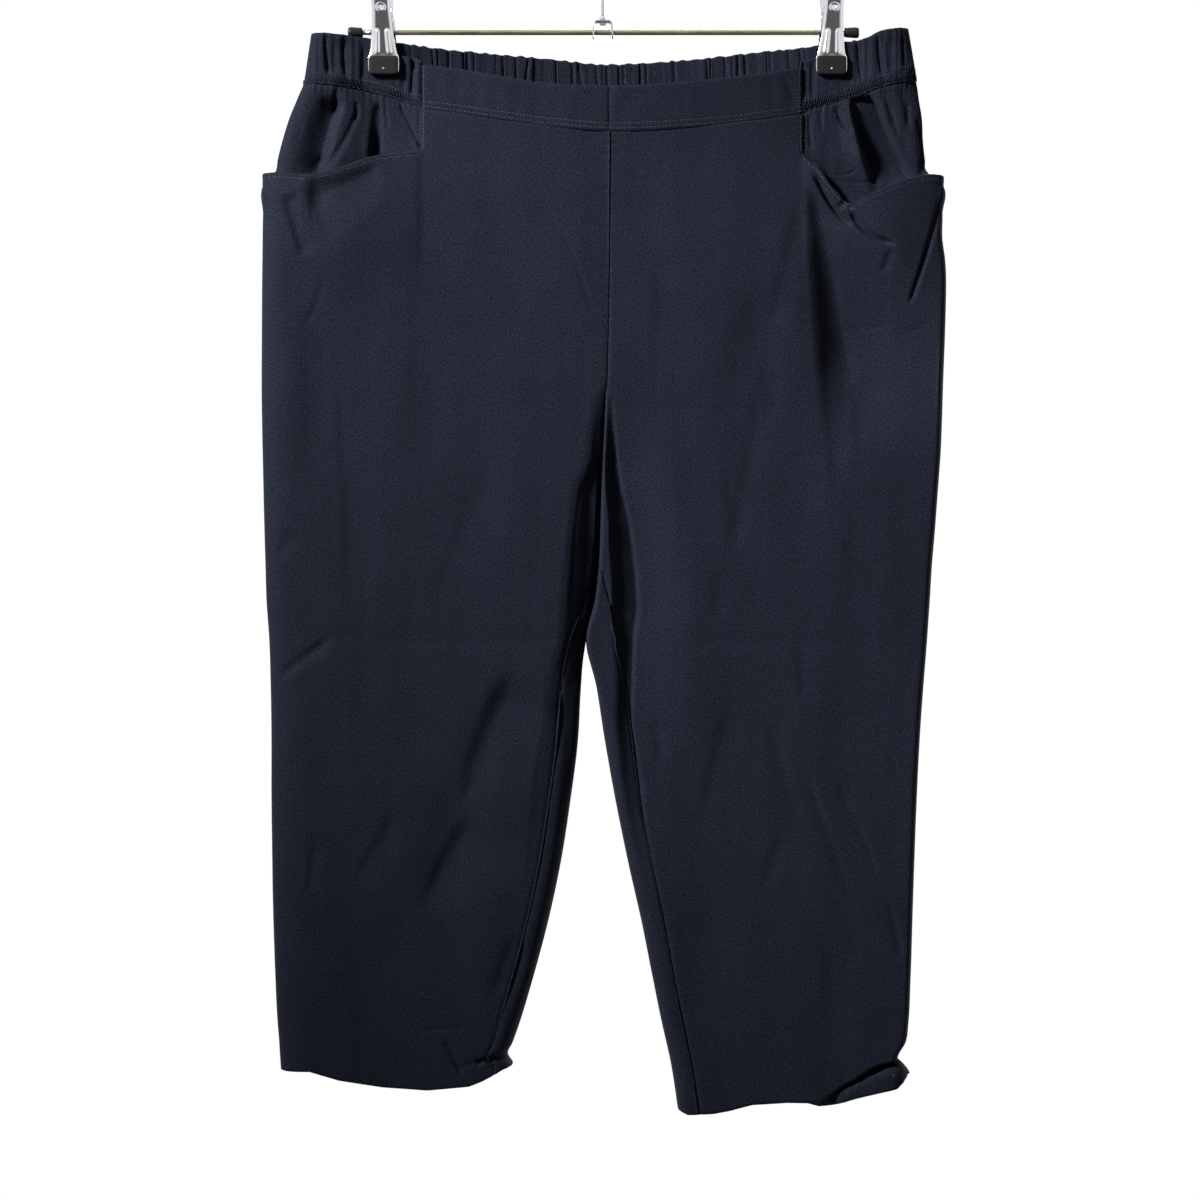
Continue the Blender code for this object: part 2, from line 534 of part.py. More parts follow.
def add_bands(cloth, casing, collection):
    """Flat front band, elastic casing on both sides, and the casing across the back."""
    x = np.linspace(FRONT_EDGE["left"] + SEAM_GAP, FRONT_EDGE["right"] - SEAM_GAP, 25)[None, :]
    front = band_points(x, -1.0, read(FRONT_TOP, "z", x), read(FRONT_BOTTOM, "z", x), None, 3)
    add_sheet("band_front", front, True, BAND, cloth, collection)
    for leg in ("left", "right"):
        inward = 1.0 if leg == "left" else -1.0
        first = BAND_FOLD_BOTTOM[leg] + inward * 0.05
        last = FRONT_EDGE[leg] - inward * 2.0 * SEAM_GAP
        x = (first + (last - first) * (1.0 - np.cos(np.linspace(0.0, math.pi / 2, 40))))[None, :]
        side = band_points(x, -1.0, read(SIDE_TOP[leg], "z", x), read(SIDE_BOTTOM[leg], "z", x),
                           SIDE_GATHERS[leg], 3)
        add_sheet("band_side_" + leg, side, leg == "left", BAND, casing, collection)
    middle = np.linspace(BAND_FOLD_BOTTOM["left"] + 6.0, BAND_FOLD_BOTTOM["right"] - 6.0, 192)
    turn = np.array((0.45, 1.0, 1.8, 2.8, 4.2))
    left_turn = BAND_FOLD_BOTTOM["left"] + turn
    right_turn = BAND_FOLD_BOTTOM["right"] - turn[::-1]
    x = np.concatenate((left_turn, middle, right_turn))[None, :]
    back = band_points(x, 1.0, read(BACK_TOP, "z", x), read(BACK_BOTTOM, "z", x),
                       BACK_GATHERS, 3)
    add_sheet("band_back", back, False, BAND, casing, collection)


def add_mesh_object(name, mesh, material, collection, smooth_angle=40.0):
    """Link a mesh as an object with its material, shaded smooth up to an angle."""
    mesh.shade_smooth()
    mesh.set_sharp_from_angle(angle=math.radians(smooth_angle))
    mesh.materials.append(material)
    added = bpy.data.objects.new(name, mesh)
    collection.objects.link(added)
    return added


def box_mesh(name, size):
    """Box mesh about its own centre."""
    shape = bmesh.new()
    bmesh.ops.create_cube(shape, size=1.0)
    bmesh.ops.scale(shape, vec=[side * MM for side in size], verts=shape.verts)
    mesh = bpy.data.meshes.new(name)
    shape.to_mesh(mesh)
    shape.free()
    return mesh


def add_cutter(name, mesh, place, turn, cutters):
    """Place a cutter, which the part itself leaves out."""
    cutter = bpy.data.objects.new(name, mesh)
    cutter.location = [value * MM for value in place]
    cutter.rotation_euler = turn
    cutter.hide_render = True
    cutter.display_type = "WIRE"
    cutters.objects.link(cutter)
    return cutter


def rod_cutter_mesh(name, radius, length, sides=16):
    """Cylinder mesh along Z about its own centre."""
    shape = bmesh.new()
    bmesh.ops.create_cone(shape, cap_ends=True, segments=sides, radius1=radius * MM,
                          radius2=radius * MM, depth=length * MM)
    mesh = bpy.data.meshes.new(name)
    shape.to_mesh(mesh)
    shape.free()
    return mesh


def cut(target, cutter):
    """Subtract a cutter from a solid."""
    hole = target.modifiers.new("cut_" + cutter.name, "BOOLEAN")
    hole.operation = "DIFFERENCE"
    hole.solver = "EXACT"
    hole.object = cutter


def add_wire(name, points, radius, material, collection, swell=None):
    """Round wire through points; swell gives each point's share of the radius."""
    curve = bpy.data.curves.new(name, "CURVE")
    curve.dimensions = "3D"
    curve.bevel_depth = radius * MM
    curve.bevel_resolution = 2
    curve.use_fill_caps = True
    line = curve.splines.new("POLY")
    line.points.add(len(points) - 1)
    for place, point in enumerate(points):
        line.points[place].co = (*[value * MM for value in point], 1.0)
        line.points[place].radius = 1.0 if swell is None else swell[place]
    curve.materials.append(material)
    wire = bpy.data.objects.new(name, curve)
    collection.objects.link(wire)
    return wire


def add_turned(name, profile, place, turn, material, collection, sides=16):
    """Turned piece: a profile of (radius, height) points, top to bottom, round its own Z."""
    mesh = bpy.data.meshes.new(name)
    points = [(radius * MM, 0.0, height * MM) for radius, height in profile]
    edges = [(index, index + 1) for index in range(len(points) - 1)]
    mesh.from_pydata(points, edges, [])
    turned = add_mesh_object(name, mesh, material, collection)
    turned.location = [value * MM for value in place]
    turned.rotation_euler = turn
    screw = turned.modifiers.new("turn", "SCREW")
    screw.axis = "Z"
    screw.steps = sides
    screw.render_steps = sides
    screw.use_merge_vertices = True
    screw.merge_threshold = 0.00001
    screw.use_smooth_shade = True
    return turned


def hook_route():
    """Centre line of the hook: rivet head, ball, stem, bend to one side, then the round bend."""
    route = [(0.0, 0.0, -74.4), (0.0, 0.0, -73.4), (0.0, 0.0, -73.3), (0.0, 0.0, -71.3),
             (0.0, 0.0, -71.2), (0.0, 0.0, -70.2), (0.0, 0.0, -69.0), (0.0, 0.0, -68.0),
             (0.0, 0.0, -60.0), (0.2, 0.0, -54.0), (1.6, 0.0, -49.0), (4.6, 0.0, -44.6)]
    swell = [1.7, 1.7, 1.0, 1.0, 1.5, 1.75, 1.4, 1.0, 1.0, 1.0, 1.0, 1.0]
    centre_z = WIRE_RADIUS - HOOK_RADIUS
    for degrees in range(-62, 209, 9):
        angle = math.radians(degrees)
        across = HOOK_RADIUS * math.cos(angle)
        route.append((across, 0.0, centre_z + HOOK_RADIUS * math.sin(angle)))
        swell.append(1.0)
    return route, swell


def add_hook(chrome, collection, cutters):
    """Wire hook that swivels in a bent saddle over the rod."""
    route, swell = hook_route()
    add_wire("hook", route, WIRE_RADIUS, chrome, collection, swell)
    path = [(-8.0, -85.0), (-8.0, -75.0), (-7.0, -72.6), (-4.6, -71.6), (0.0, -71.6),
            (4.6, -71.6), (7.0, -72.6), (8.0, -75.0), (8.0, -85.0)]
    points = np.array([[(x, y, z) for x, z in path] for y in (-4.0, 0.0, 4.0)])
    saddle = add_sheet("hook_saddle", points, False, SADDLE, chrome, collection)
    rod_hole = add_cutter("saddle_rod_hole", rod_cutter_mesh("saddle_rod_hole", BORE_RADIUS, 30.0),
                          (0.0, 0.0, ROD_Z), (0.0, math.pi / 2, 0.0), cutters)
    stem_hole = add_cutter("saddle_stem_hole", rod_cutter_mesh("saddle_stem_hole", 1.95, 6.0),
                           (0.0, 0.0, -72.2), (0.0, 0.0, 0.0), cutters)
    cut(saddle, rod_hole)
    cut(saddle, stem_hole)


def add_rod(steel, plastic, collection):
    """Rod with a plastic cap at each end."""
    add_wire("hanger_rod", [(ROD_LEFT, 0.0, ROD_Z), (0.0, 0.0, ROD_Z), (ROD_RIGHT, 0.0, ROD_Z)],
             ROD_RADIUS, steel, collection)
    profile = [(0.0, CAP_LENGTH), (3.4, CAP_LENGTH), (4.1, CAP_LENGTH - 0.8),
               (CAP_RADIUS, CAP_LENGTH - 2.4), (3.7, 0.5), (3.2, 0.0), (0.0, 0.0)]
    for side, end, turn in (("left", ROD_LEFT - SEAM_GAP, -math.pi / 2),
                            ("right", ROD_RIGHT + SEAM_GAP, math.pi / 2)):
        add_turned("rod_cap_" + side, profile, (end, 0.0, ROD_Z), (0.0, turn, 0.0), plastic,
                   collection)


def clip_plate_points(centre, face):
    """Pressed plate of a clip: width and stand-off by height, with two long flutes."""
    z = np.array([row.z for row in CLIP_ROWS])[:, None]
    half_width = np.array([row.half_width for row in CLIP_ROWS])[:, None]
    out = np.array([row.out for row in CLIP_ROWS])[:, None]
    share = np.array((-1.0, -0.8, -0.62, -0.44, -0.26, 0.0, 0.26, 0.44, 0.62, 0.8, 1.0))[None, :]
    flute = np.exp(-(((np.abs(share) - 0.44) / 0.13) ** 2))
    flute = flute * step(-z, 76.0, 82.0) * (1.0 - step(-z, 96.0, 99.5))
    x = centre + share * half_width
    y = (out + 0.9 * flute - 0.9 * share**4) + 0.0 * x
    return np.stack((x, face * y, z + 0.0 * x), axis=-1)


def add_clip(side, centre, chrome, spring, rubber, collection, cutters):
    """Pinch clip: two pressed plates, a rubber pad in each, and a spring round the rod."""
    window = add_cutter("clip_window_" + side,
                        box_mesh("clip_window_" + side, (PAD_SIZE[0] + 0.7, 30.0, PAD_SIZE[2] + 0.7)),
                        (centre, 0.0, PAD_Z), (0.0, 0.0, 0.0), cutters)
    eye = add_cutter("clip_eye_" + side, rod_cutter_mesh("clip_eye_" + side, EYE_RADIUS, 40.0, 12),
                     (centre, 0.0, EYE_Z), (math.pi / 2, 0.0, 0.0), cutters)
    for name, face in (("front", -1.0), ("back", 1.0)):
        points = clip_plate_points(centre, face)
        plate = add_sheet("clip_plate_" + name + "_" + side, points, face < 0.0, PLATE, chrome,
                          collection)
        cut(plate, window)
        cut(plate, eye)
        pad_name = "clip_pad_" + name + "_" + side
        pad = add_mesh_object(pad_name, box_mesh(pad_name, PAD_SIZE), rubber, collection)
        pad.location = (centre * MM, face * PAD_Y * MM, PAD_Z * MM)
        edge = pad.modifiers.new("edge", "BEVEL")
        edge.width = 0.8 * MM
        edge.segments = 2
    profile = [(SPRING_RADIUS, SPRING_HALF_LENGTH), (SPRING_RADIUS, -SPRING_HALF_LENGTH),
               (BORE_RADIUS, -SPRING_HALF_LENGTH), (BORE_RADIUS, SPRING_HALF_LENGTH),
               (SPRING_RADIUS, SPRING_HALF_LENGTH)]
    add_turned("clip_spring_" + side, profile, (centre, 0.0, ROD_Z), (0.0, math.pi / 2, 0.0),
               spring, collection)


def main():
    """Build the whole part."""
    clear_scene()
    collection = make_collection("capri_pants_on_hanger")
    cutters = make_collection("cutters")
    cloth = make_material("stretch_poplin", (0.021, 0.024, 0.039), 0.85)
    casing = make_material("gathered_poplin", (0.019, 0.022, 0.036), 0.88)
    chrome = make_material("chrome_plate", (0.8, 0.8, 0.82), 0.12, 1.0)
    steel = make_material("drawn_steel_rod", (0.45, 0.42, 0.34), 0.35, 1.0)
    spring = make_material("spring_steel", (0.4, 0.4, 0.41), 0.4, 1.0)
    plastic = make_material("moulded_cap", (0.03, 0.03, 0.035), 0.45)
    rubber = make_material("rubber_pad", (0.012, 0.012, 0.012), 0.8)
    add_main_panels(cloth, collection)
    add_yokes(cloth, collection)
    add_bands(cloth, casing, collection)
    add_rod(steel, plastic, collection)
    add_hook(chrome, collection, cutters)
    for side, centre in CLIP_CENTRES.items():
        add_clip(side, centre, chrome, spring, rubber, collection, cutters)


main()
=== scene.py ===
"""Dresses the pull-on capri pants and their clip hanger around the loaded frame.

Lengths in the tables and in the surface functions are millimetres; MM turns them into metres.
+Z is up, +X lies to the right of a viewer in front, and the front faces -Y.
"""
import math
from collections import namedtuple

import bpy
import numpy as np
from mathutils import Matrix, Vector


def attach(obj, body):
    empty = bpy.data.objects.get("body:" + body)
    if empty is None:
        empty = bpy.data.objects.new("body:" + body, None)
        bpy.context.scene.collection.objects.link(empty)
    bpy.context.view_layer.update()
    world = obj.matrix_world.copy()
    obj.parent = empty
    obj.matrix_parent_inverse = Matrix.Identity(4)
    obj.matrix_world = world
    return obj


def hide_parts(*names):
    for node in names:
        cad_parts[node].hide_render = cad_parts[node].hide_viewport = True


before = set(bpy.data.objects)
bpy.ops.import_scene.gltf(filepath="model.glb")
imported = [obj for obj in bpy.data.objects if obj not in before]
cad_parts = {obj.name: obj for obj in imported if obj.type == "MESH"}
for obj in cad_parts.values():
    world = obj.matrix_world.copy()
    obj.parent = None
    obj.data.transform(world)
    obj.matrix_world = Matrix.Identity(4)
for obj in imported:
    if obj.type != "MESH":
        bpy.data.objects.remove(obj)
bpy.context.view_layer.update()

bl_info = {
    "name": "Capri pants on a clip hanger",
    "version": (1, 0, 0),
    "blender": (4, 5, 0),
    "location": "3D View > Sidebar > Capri pants",
    "description": "Builds the cloth, stitching and hanger of the capri pants, and a stage",
    "category": "Object",
}

MM = 0.001
LEGS = ("left", "right")

# Sizes of the garment, mm
CLOTH_WALL = 1.2
CASING_WALL = 2.2
HEM_WALL = 1.0           # added where the hem is turned up
HEM_DEPTH = 26.0
FACING_WALL = 0.8        # added along the turned-in edge of a pocket mouth
FACING_DEPTH = 9.0
TUCK = 2.6               # how far a panel runs up behind the waistband
SEAM_RING = 0.003        # half of the gap at the inseam, in rings
BACK_END_RING = 5.915    # where the back stops short of the side fold, in rings
WRAP_RING = 0.08         # how far the front runs round behind the side fold, in rings
ROD_Z = -81.0
ROD_LEFT = -191.7
ROD_RIGHT = 192.5
CAP_LENGTH = 12.0
HOOK_RADIUS = 20.6
CLIP_CENTRES = {"left": -175.2, "right": 182.4}
BAND_FOLD_TOP = {"left": -233.4, "right": 244.4}
BAND_FOLD_BOTTOM = {"left": -239.4, "right": 251.4}
FRONT_EDGE = {"left": -144.8, "right": 159.2}
CROTCH_Z = -507.0
INSEAM_TOP_Z = CROTCH_Z + 12.0
HIP_Z = -263.0
MOUTH_TOP_Z = -192.6
BAG_BOTTOM_Z = -316.0
YOKE_TOP_Z = -130.0
MOUTH_LIFT = 5.5         # how far the front stands out over a pocket
POCKET_DEPTH = 6.0       # how far the back of a pocket lies in
OUTER_ZONE = 70.0        # width of the rounding at the side fold
SEAM_DIPS = {            # the panel on the left of a seam lies a little over the other
    ("left", "centre"): 0.1, ("right", "centre"): 1.2,
    ("left", "inseam_front"): 0.7, ("right", "inseam_front"): 1.2,
    ("left", "inseam_back"): 0.7, ("right", "inseam_back"): 0.15,
}
FRONT_ZONE = {"left": 34.0, "right": 7.0}   # the front lies flatter to the side folds
INNER_ZONE = 30.0        # width of the rounding at the inner edge
CROTCH_ZONE = {"left": 6.0, "right": 3.0}   # the front keeps its depth closer to the crotch
RIM_EASE = 46.0          # the right rim of the hollow eases back to full depth over this
WAIST_ZONE = 12.0        # width of the rounding at the side of the waistband
SIDE_SEAM_X = 266.0      # where a pocket's mouth ends at the side, on both hips
# The grids start at even heights, from PANEL_TOP_Z to PANEL_END_Z; the stretches beyond the
# other heights are then moved to meet the edges
PANEL_TOP_Z = -140.0
PANEL_END_Z = -920.0
HIP_STRETCH_Z = -300.0
BACK_STRETCH_Z = -202.0
HEM_STRETCH_Z = -860.0
HEM_ROW_Z = -862.0       # the grids' rows are of one height down to here
COVERED_INSET = 0.9      # added behind the front, below the mouth
YOKE_CLEARANCE = 3.6     # a fold of a yoke stops this far in front of the back panel
YOKE_INSET = 1.6         # how far a yoke lies behind the form of the front
HEM_CURL_GAP = 3.2       # how far behind the front's hem the right back hem's corner curls
CLIP_LEAN = {"front": -2.6, "back": 1.8}   # how far a plate's top leans to the middle
EYE_Z = -62.0            # hole in a clip's handle
EYE_RADIUS = 1.7
PLATE_WALL = 0.9
PAD_SIZE = (23.6, 4.6, 15.0)
PAD_Y = 5.4              # middle of a pad from the cloth's middle plane
PAD_Z = -108.0
RIVET_Y = 7.6
RIVET_Z = -111.0
SPRING_TURNS = 4.5
SPRING_RADIUS = 3.6
SPRING_WIRE = 0.75
SPRING_HALF = 5.2
SADDLE_WALL = 1.1
SADDLE_HALF = 4.0        # half of the saddle's width

# Gathers: first x, last x and their number
BACK_GATHERS = (-232.0, 242.0, 50)
TOP_EDGE_GATHERS = (-232.0, 242.0, 44)
SIDE_GATHERS = {"left": (-232.0, -148.0, 8), "right": (164.0, 242.0, 9)}

# Slow unevenness of the cloth: length and height of its waves
FRONT_DRIFT = ((110.0, 0.55), (42.0, 0.22), (15.0, 0.05))
BACK_DRIFT = ((110.0, 0.6), (42.0, 0.24), (15.0, 0.05))
YOKE_DRIFT = ((40.0, 0.5), (14.0, 0.1))
BAND_DRIFT = ((60.0, 0.3), (18.0, 0.1))
CASING_DRIFT = ((16.0, 0.5),)

# Puckers along a seam: pitch, height, width and how far beside the seam they are highest
SEAM_PUCKER = (9.0, 0.12, 5.0)
MOUTH_PUCKER = (3.4, 0.32, 2.6, 2.2)
BAND_PUCKER = (2.9, 0.09, 2.6, 4.6)

# Rows of stitches: distance from the edge that each follows
BAND_ROWS = (2.6, 6.6)
SIDE_CASING_ROWS = (1.4, 8.8)
BACK_CASING_ROWS = (1.4, 9.0)
MOUTH_ROW = 3.6
SEAM_ROW = 1.8
THREAD_LIFT = 0.2
GATHERING_LIFT = 0.22

# The camera stands square to the front, metres
CAMERA_PLACE = (-0.0024, -2.267, -0.53496)
CAMERA_LENS = 85.0
CAMERA_SENSOR = 36.0

# The floor is a round slab, mm
FLOOR_RADIUS = 2400.0
FLOOR_WALL = 20.0
FLOOR_SIDES = 96


def table(kind, *rows):
    """Rows of a table as named tuples of one kind."""
    return [kind(*row) for row in rows]


# Half outlines by height: silhouettes, inseam offset, and half depths of front and back
Section = namedtuple("Section", "z outer inner inseam front back")
LEFT_SECTIONS = table(Section,
    (-123.8, -240, 4.8, 0, 13, 13), (-135, -244.8, 4.8, 0, 14, 14), (-151, -251.2, 4.6, 0, 15, 15),
    (-167, -256, 4.5, 0, 16, 16), (-183, -260, 4.4, 0, 17, 17), (-192.6, -262, 4.3, 0, 17.5, 18),
    (-202.2, -270.6, 4.2, 0, 18, 19), (-227, -271.6, 4.1, 0, 18.5, 20), (-263, -272, 4, 0, 19, 22),
    (-311, -272.4, 3.6, 0, 19.5, 24), (-359, -272.5, 2.8, 0, 20, 25),
    (-399, -272, 1.6, 0, 20.5, 26), (-439, -271.2, -0.4, 0, 21, 26),
    (-479, -270.4, -1.8, 0, 21, 25), (-507, -269.6, -2.8, 0, 21, 24),
    (-535, -268.8, -6.2, 9, 20.5, 23), (-564.6, -266.8, -14, 13, 20, 22),
    (-607, -265.4, -17.8, 16, 20, 21), (-647, -264.8, -20, 17, 20, 21),
    (-695, -264.6, -26, 17.5, 20, 21), (-743, -264, -33.4, 17.5, 20.5, 21),
    (-791, -263.2, -43.6, 17.5, 21, 21), (-839, -261.6, -56.4, 17.5, 21.5, 21.5),
    (-871, -260, -66, 17, 22, 22), (-888, -258.6, -72, 16, 22, 22), (-898, -258, -76, 16, 22, 22),
    (-906, -257.4, -71, 16, 22, 22), (-943, -256, -71, 16, 22, 22),
)
RIGHT_SECTIONS = table(Section,
    (-112.6, 248.8, 4.8, 0, 13, 13), (-123.8, 251.2, 4.8, 0, 13, 13),
    (-135, 252.8, 4.8, 0, 14, 14), (-151, 255.2, 4.6, 0, 15, 15), (-167, 256, 4.5, 0, 16, 16),
    (-183, 257.6, 4.4, 0, 17, 17), (-192.6, 258.8, 4.3, 0, 17.5, 18),
    (-202.2, 270.2, 4.2, 0, 18, 19), (-227, 271.2, 4.1, 0, 18.5, 20), (-247, 271, 4, 0, 19, 21),
    (-263, 273, 4, 0, 19, 22), (-311, 273.2, 3.6, 0, 19.5, 24), (-359, 272, 2.8, 0, 20, 25),
    (-399, 270.4, 1.6, 0, 20.5, 26), (-439, 267.6, -0.4, 0, 21, 26),
    (-479, 264.8, -1.8, 0, 21, 25), (-507, 262.4, -2.8, 0, 21, 24),
    (-535, 260.8, -5.6, 11, 20.5, 23), (-564.6, 258.8, -12.6, 24, 20, 22),
    (-607, 255.2, -4.8, 23.6, 20, 21), (-647, 252.4, 1.4, 22.4, 20, 21),
    (-695, 250, 10, 19.6, 20, 21), (-743, 248.2, 19.8, 18.6, 20.5, 21),
    (-791, 246.8, 30.6, 17.8, 21, 21), (-839, 245.2, 40.2, 16.5, 21.5, 21.5),
    (-871, 243.6, 46.6, 16.4, 22, 22), (-886, 241.6, 50, 16, 22, 22),
    (-901, 235, 53.4, 16, 22, 22), (-912, 243, 55.4, 16, 22, 22), (-943, 242, 60, 16, 22, 22),
)
SECTIONS = {"left": LEFT_SECTIONS, "right": RIGHT_SECTIONS}

# Half depth of the waist, pressed flat under the clips
Waist = namedtuple("Waist", "x half_depth")
WAIST = table(Waist,
    (-250, 7.5), (-210, 7.5), (-190, 3.3), (-175, 3.1), (-160, 3.3), (-144, 6),
    (-100, 11), (0, 16), (100, 12), (152, 6), (168, 3.3), (182, 3.1),
    (198, 3.3), (220, 7.5), (260, 7.5),
)
Edge = namedtuple("Edge", "x z")
BACK_TOP = table(Edge,
    (-234, -82.2), (-202.4, -85), (-165.6, -88.8), (-124, -93.4), (-84.8, -96.4),
    (-44, -99.6), (0, -103.8), (39.2, -102.4), (77.6, -99.8), (127.2, -95),
    (160, -92.6), (198.4, -88), (214.4, -85.6), (244, -78.2),
)
BACK_BOTTOM = table(Edge,
    (-240, -122), (-165, -129), (-85, -140), (0, -148), (78, -143),
    (160, -133), (250, -118),
)
SIDE_TOP = {
    "left": table(Edge,
        (-234, -82.2), (-203, -84.8), (-186, -87), (-175, -92.6), (-164, -99),
        (-152, -102), (-144.5, -105.4),
    ),
    "right": table(Edge,
        (159.5, -105), (172, -101), (182.4, -94), (194, -89), (206, -88.6),
        (218, -85.4), (227, -81.4), (244, -78.2),
    ),
}
SIDE_BOTTOM = {
    "left": table(Edge,
        (-240, -122.2), (-206, -125.4), (-190, -128.4), (-174, -132),
        (-158, -137.4), (-144.5, -141.6), (-138, -146.6),
    ),
    "right": table(Edge,
        (152, -150.6), (159.5, -146), (170, -142.6), (186, -137.6), (206, -131.6),
        (222, -126), (250, -119.8),
    ),
}
FRONT_TOP = table(Edge,
    (-144.5, -108), (-121.6, -110.6), (-92, -116.2), (-52.8, -123), (2.4, -126.2),
    (39.2, -125), (61.6, -123.2), (100, -118.8), (128.8, -115.2), (159, -109.6),
)
FRONT_BOTTOM = table(Edge,
    (-144.5, -143.2), (-105.6, -149), (-50.4, -157.4), (4.8, -162.4), (59.2, -160.2),
    (113.6, -154.6), (159, -147.2),
)
MOUTH = {
    "left": table(Edge,
        (-272, -194.8), (-260.8, -195), (-232.8, -197), (-206.4, -190.6), (-184, -182.4),
        (-144.8, -177.2),
    ),
    "right": table(Edge,
        (159.2, -179.2), (164, -184.6), (172.8, -193.2), (183.2, -210.6), (197.6, -221.2),
        (212, -213.2), (228, -205.6), (243.2, -200.4), (259.2, -196.8), (272, -196.8),
    ),
}
HEM = {
    ("left", "front"): table(Edge,
        (-257, -909), (-232, -908.4), (-208.8, -915.4), (-174.4, -920.8), (-139, -923.2),
        (-106.4, -920), (-96.4, -916.2), (-77.6, -907), (-70, -904.6),
    ),
    ("left", "back"): table(Edge,
        (-257, -909), (-208.8, -916), (-139, -924), (-100, -918), (-70, -904),
    ),
    ("right", "front"): table(Edge,
        (56, -940.4), (63.2, -943), (84, -942), (97.6, -939.8), (117.6, -934.8),
        (146.4, -933), (172, -933.4), (188.8, -920.2), (200.4, -914.6), (215.2, -907.6),
        (227.2, -903.4), (242, -900),
    ),
    ("right", "back"): table(Edge,
        (56, -941), (84, -943), (117.6, -938), (176, -940.4), (188.8, -934.6),
        (199.6, -930.6), (220.8, -925.4), (232.8, -922.6), (243.2, -913),
    ),
}

# Largest folds, which the frame's solids have too: soft, along a straight line
Fold = namedtuple("Fold", "x0 z0 x1 z1 width height")
FRONT_FOLDS = table(Fold,
    (-74, -600, -106, -679, 15, -4), (-106, -679, -142, -785, 18, -4.5),
    (-140, -650, -176, -790, 20, 2.5), (-250, -215, -248, -311, 12, -2),
    (168, -215, 178, -400, 16, -3.5), (126, -295, 106, -370, 14, -2),
    (60, -640, 96, -820, 18, -2.5), (190, -590, 204, -760, 22, -2.5),
)
BACK_FOLDS = table(Fold,
    (-40, -430, -150, -540, 18, -4.5), (-30, -480, -120, -610, 16, -4),
    (44, -440, 150, -520, 18, -4.5), (30, -490, 110, -620, 16, -3.5),
    (-170, -640, -120, -840, 20, -3), (110, -660, 160, -850, 20, -3),
    (-70, -160, -84, -260, 12, -2.5), (62, -158, 70, -250, 12, -2.5),
    (-160, -150, -172, -240, 12, -2), (150, -150, 160, -235, 12, -2),
)
YOKE_FOLDS = table(Fold,
    (-222, -131, -246, -191, 11, -3.5), (-186, -140, -174, -181, 7, -2.5),
    (-166, -136, -150, -172, 6, -2), (202, -140, 224, -195, 11, -3.5),
    (180, -150, 182, -182, 7, -1.5),
)

# Creases run through three points: soft is a round trough or ridge, sharp has a kinked bottom
Crease = namedtuple("Crease", "x0 z0 x1 z1 x2 z2 width height kind")
FRONT_CREASES = table(Crease,
    (-229, -197, -230, -212, -228, -230, 4, -1.2, "soft"),
    (-248, -478, -253, -490, -257, -504, 4, -1, "soft"),
    (-14.5, -432, -22, -480, -27, -562, 0.9, -1, "sharp"),
    (-68, -798, -77, -825, -90, -856, 6, -2, "soft"),
    (95, -432, 103, -466, 102, -496, 3.4, -0.9, "soft"),
    (133, -348, 134, -374, 132, -402, 4, -0.9, "soft"),
    (184, -319, 206, -317.5, 228, -316.5, 2.2, -0.5, "sharp"),
    (235, -327, 250, -318, 262, -315, 2.2, -0.6, "sharp"),
    (91, -508, 91, -532, 90, -556, 3, -0.9, "soft"),
    (38, -630, 43, -646, 48, -664, 3, -1, "soft"),
    (157, -562, 158, -590, 159, -620, 4, -0.9, "soft"),
    (229, -255, 225, -266, 222, -277, 2, -1.2, "soft"),
    (-186, -560, -190, -640, -180, -700, 9, -0.7, "soft"),
    (-236, -300, -232, -380, -240, -460, 7, -0.7, "soft"),
    (40, -250, 46, -290, 44, -330, 6, -0.5, "soft"),
    (214, -340, 206, -400, 214, -450, 7, -0.8, "soft"),
    (60, -780, 72, -830, 78, -890, 8, -0.9, "soft"),
    (176, -800, 184, -850, 182, -900, 7, -0.9, "soft"),
    (-200, -800, -190, -850, -196, -890, 8, -0.8, "soft"),
)
BACK_CREASES = table(Crease,
    (-12, -400, -60, -452, -140, -500, 6, -2.6, "soft"),
    (-14, -450, -50, -505, -104, -560, 5, -2.4, "sharp"),
    (14, -404, 66, -446, 138, -488, 6, -2.4, "soft"),
    (16, -462, 52, -520, 92, -590, 5, -2.2, "sharp"),
    (-240, -570, -140, -575, -30, -572, 5, -1.4, "sharp"),
    (20, -573, 120, -577, 238, -571, 5, -1.4, "sharp"),
    (-206, -640, -190, -720, -180, -800, 8, -2.2, "soft"),
    (-120, -700, -110, -760, -116, -850, 9, -1.8, "soft"),
    (90, -640, 104, -730, 100, -820, 8, -2, "soft"),
    (196, -660, 186, -740, 190, -830, 8, -2, "soft"),
    (-210, -250, -190, -310, -196, -380, 9, -2, "soft"),
    (204, -240, 188, -300, 192, -390, 9, -2.2, "soft"),
    (-104, -240, -96, -300, -110, -350, 8, -1.6, "soft"),
    (96, -230, 104, -290, 98, -350, 8, -1.6, "soft"),
)
YOKE_CREASES = table(Crease,
    (-222, -176, -228, -188, -236, -204, 3.6, -1.6, "soft"),
    (203, -138, 217, -166, 230, -180, 1.2, 2.2, "sharp"),
    (188, -136, 193, -154, 203, -160, 2, -1.6, "sharp"),
    (-214, -126, -214, -136, -217, -150, 1.8, -1.6, "soft"),
    (222, -124, 228, -142, 232, -164, 2.2, -1.6, "soft"),
    (236, -120, 241, -140, 244, -162, 2.2, -1.6, "soft"),
)
